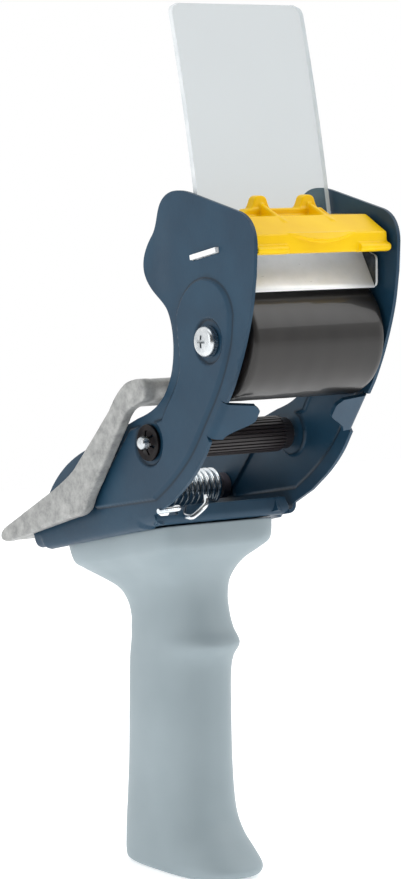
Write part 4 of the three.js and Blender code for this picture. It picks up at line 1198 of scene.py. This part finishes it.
# ---- guard and flap ----
def guard_parts():
    """The guard's hood, end walls, front lip, hinge knuckles, and two lugs with a rib each."""
    h = GUARD_HALF
    hood = [(-64.9, 199.9), (-65.5, 200.2), (-65.5, 203), (-65.2, 205.9),
            (-55.4, 210.9), (-42, 210.6), (-38.2, 210.2), (-39.4, 203.4), (-40.5, 203.7), (-39.7, 208.8),
            (-54.6, 209.1), (-63.6, 204.6), (-63.8, 200.2)]
    parts = [prism(hood, -h + 0.7, h - 0.7)]
    wall = [(-65.2, 201), (-65.2, 205.6), (-55.4, 210.6), (-40, 210), (-41, 205), (-47, 203.6), (-56, 203.4),
            (-64, 201)]
    lip = Pen((-64, 199.8)).quad((-67.1, 199.8), (-67.1, 201.3)).quad((-67.1, 202.9), (-64, 202.9)).points
    knuckle_r, knuckle_top = 2.9, 209.6
    knuckle = Pen((GUARD_PIN[0] - knuckle_r, knuckle_top)).arc(GUARD_PIN, knuckle_r, math.pi, math.pi)
    knuckle.line(GUARD_PIN[0] + knuckle_r, knuckle_top)
    rib = [(-45.5, 209), (-45.5, 215), (-48.0, 213.9), (-58.8, 209.6), (-58.2, 207.6)]
    lug_at = 9.1
    for side in (-1, 1):
        parts.append(side_prism(wall, side, h - 2, h - 0.4))
        parts.append(side_prism(lip, side, 13.6, h))
        parts.append(side_prism(knuckle.points, side, 13, 21.2))
        x = side * lug_at
        lug = Pen((x - 4.2, 210)).line(x - 3.9, 212).line(x - 2.5, 215)
        lug.quad((x - 2.2, 216.9), (x, 216.9)).quad((x + 2.2, 216.9), (x + 2.5, 215))
        lug.line(x + 3.9, 212).line(x + 4.2, 210)
        parts.append(turned_prism(lug.points, -46.6, -43.2))
        parts.append(prism(rib, x - 0.4, x + 0.9))
    bar = [(-18.4, 210), (-14, 212.9), (14, 212.9), (18.4, 210)]
    parts.append(turned_prism(bar, -47.0, -42.8))
    return parts


def thumb_lens():
    """The crescent thumb ledge on the guard's front: it slopes out to a curved edge, undercut below."""
    vertices, faces = [], []
    across, down, half = 40, 12, 12.6
    for i in range(across + 1):
        u = -1 + 2 * i / across
        drop = 3.0 * (1 - u * u) + 0.05
        for j in range(down + 1):
            v = j / down
            bulge = 1.7 * (1 - u * u) * (v / 0.8 if v < 0.8 else (1 - v) / 0.2)
            vertices.append((half * u, -65.25 - bulge if 0 < j < down else -64.6, 206.3 - drop * v))
    back = len(vertices)
    vertices += [(half * (-1 + 2 * i / across), -64.0, 205.4) for i in range(across + 1)]
    columns = down + 1
    for i in range(across):
        for j in range(down):
            a = i * columns + j
            faces.append((a, a + 1, a + columns + 1, a + columns))
        faces.append((i * columns, (i + 1) * columns, back + i + 1, back + i))
        faces.append(((i + 1) * columns + down, i * columns + down, back + i, back + i + 1))
    faces.append(tuple([back] + list(range(0, columns))))
    faces.append(tuple([back + across] + list(range(across * columns + down, across * columns - 1, -1))))
    return vertices, faces


def blade_guard():
    piece = melted("yellow_blade_guard", guard_parts() + [thumb_lens()], 0.28, 4)
    settle(piece, "blade_guard", "yellow_plastic", "blade_guard")


def flap():
    """A clear sheet, slightly bowed, with rounded top corners and a raised border."""
    foot, top = (-37.4, 210.3), (-22.1, 275.1)
    half, thick, corner = 25.2, 1.85, 3.2
    rows, columns = 64, 44

    def grid(offset):
        found = []
        for i in range(rows + 1):
            t = i / rows
            y = foot[0] + (top[0] - foot[0]) * (t - 0.055 * math.sin(math.pi * t))
            z = foot[1] + (top[1] - foot[1]) * t
            rise = max(0.0, z - (top[1] - corner))
            cut = corner - math.sqrt(max(0.0, corner * corner - rise * rise))
            row = []
            for j in range(columns + 1):
                u = -1 + 2 * j / columns
                x = u * (half - cut)
                border = max(float(step(abs(x), half - 1.3, half - 0.9)),
                             float(step(z, top[1] - 1.3, top[1] - 0.9)))
                bow = 0.35 * (1 - u * u) * math.sin(math.pi * min(1.0, t * 1.15) * 0.5)
                row.append((x, y + offset + bow + (0.06 * border if offset else -0.06 * border), z))
            found.append(row)
        return found

    mesh = mesh_of("clear_flap", [sheet_of(grid(0.0), grid(thick))])
    finish_mesh(mesh, sharp=60.0)
    # the sheet's rims, side borders and top border take the painted edge highlight
    for face in mesh.polygons:
        centre = face.center / MM
        at_edge = abs(face.normal.y) <= 0.5 or abs(centre.x) > half - 0.55 or centre.z > top[1] - 0.5
        face.material_index = 1 if at_edge else 0
    settle(new_object("clear_flap", mesh), "flap", "clear_sheet", "flap")


def make_floor():
    """A pale floor that ends behind the object, where the white room shows beyond it."""
    mesh = bpy.data.meshes.new("floor")
    mesh.from_pydata([(-5, -5, 0), (5, -5, 0), (5, 0.9, 0), (-5, 0.9, 0)], [], [(0, 1, 2, 3)])
    paint = Paint("pale_floor", roughness=0.8)
    paint.mottle(paint.noise(3.0, 2.0), colour(246, 246, 246), colour(250, 250, 250))
    paint.shader.inputs["Emission Color"].default_value = (1.0, 1.0, 1.0, 1.0)
    paint.shader.inputs["Emission Strength"].default_value = 0.45
    mesh.materials.append(paint.material)
    new_object("floor", mesh)


# ---- the whole ----
make_camera()
make_world()
area_light("left_softbox", (-1.1, -0.25, 0.55), (0.0, 0.0, 0.14), 0.5, 1.0, 2.2)
area_light("right_softbox", (0.72, -0.62, 0.95), (0.0, 0.0, 0.16), 0.9, 0.9, 4.5)
area_light("top_softbox", (-0.1, -0.3, 1.2), (0.0, 0.0, 0.15), 0.7, 0.7, 1.6)
make_floor()

flat, triangles = plate_mesh_2d()
side_plate("left_plate_sheet", "left_side_plate", -1, flat, triangles)
side_plate("right_plate_sheet", "right_side_plate", 1, flat, triangles)
base_web()
grip()
handle_screws()
roller_sleeve()
roller_core()
roller_axle()
roller_screws()
pinch_roller()
pinch_pin()
push_nut("left_spring_nut", "push_nut_left", "frame", PINCH, -1, 5.75, 2.3)
push_nut("right_spring_nut", "push_nut_right", "frame", PINCH, 1, 5.75, 2.3)
push_nut("shaft_spring_nut", "shaft_push_nut", "roll_arm", PIVOT, 1, 5.2, 2.8)
roll_arm()
arm_shaft_and_bush()
arm_spring()
cutter_bracket()
guard_pin_and_spring()
blade_guard()
flap()
keep_node("cutter_blade", BLADE_STEEL)
keep_node("blade_rivet_left", ZINC)
keep_node("blade_rivet_right", ZINC)
keep_node("flap_clamp", YELLOW)
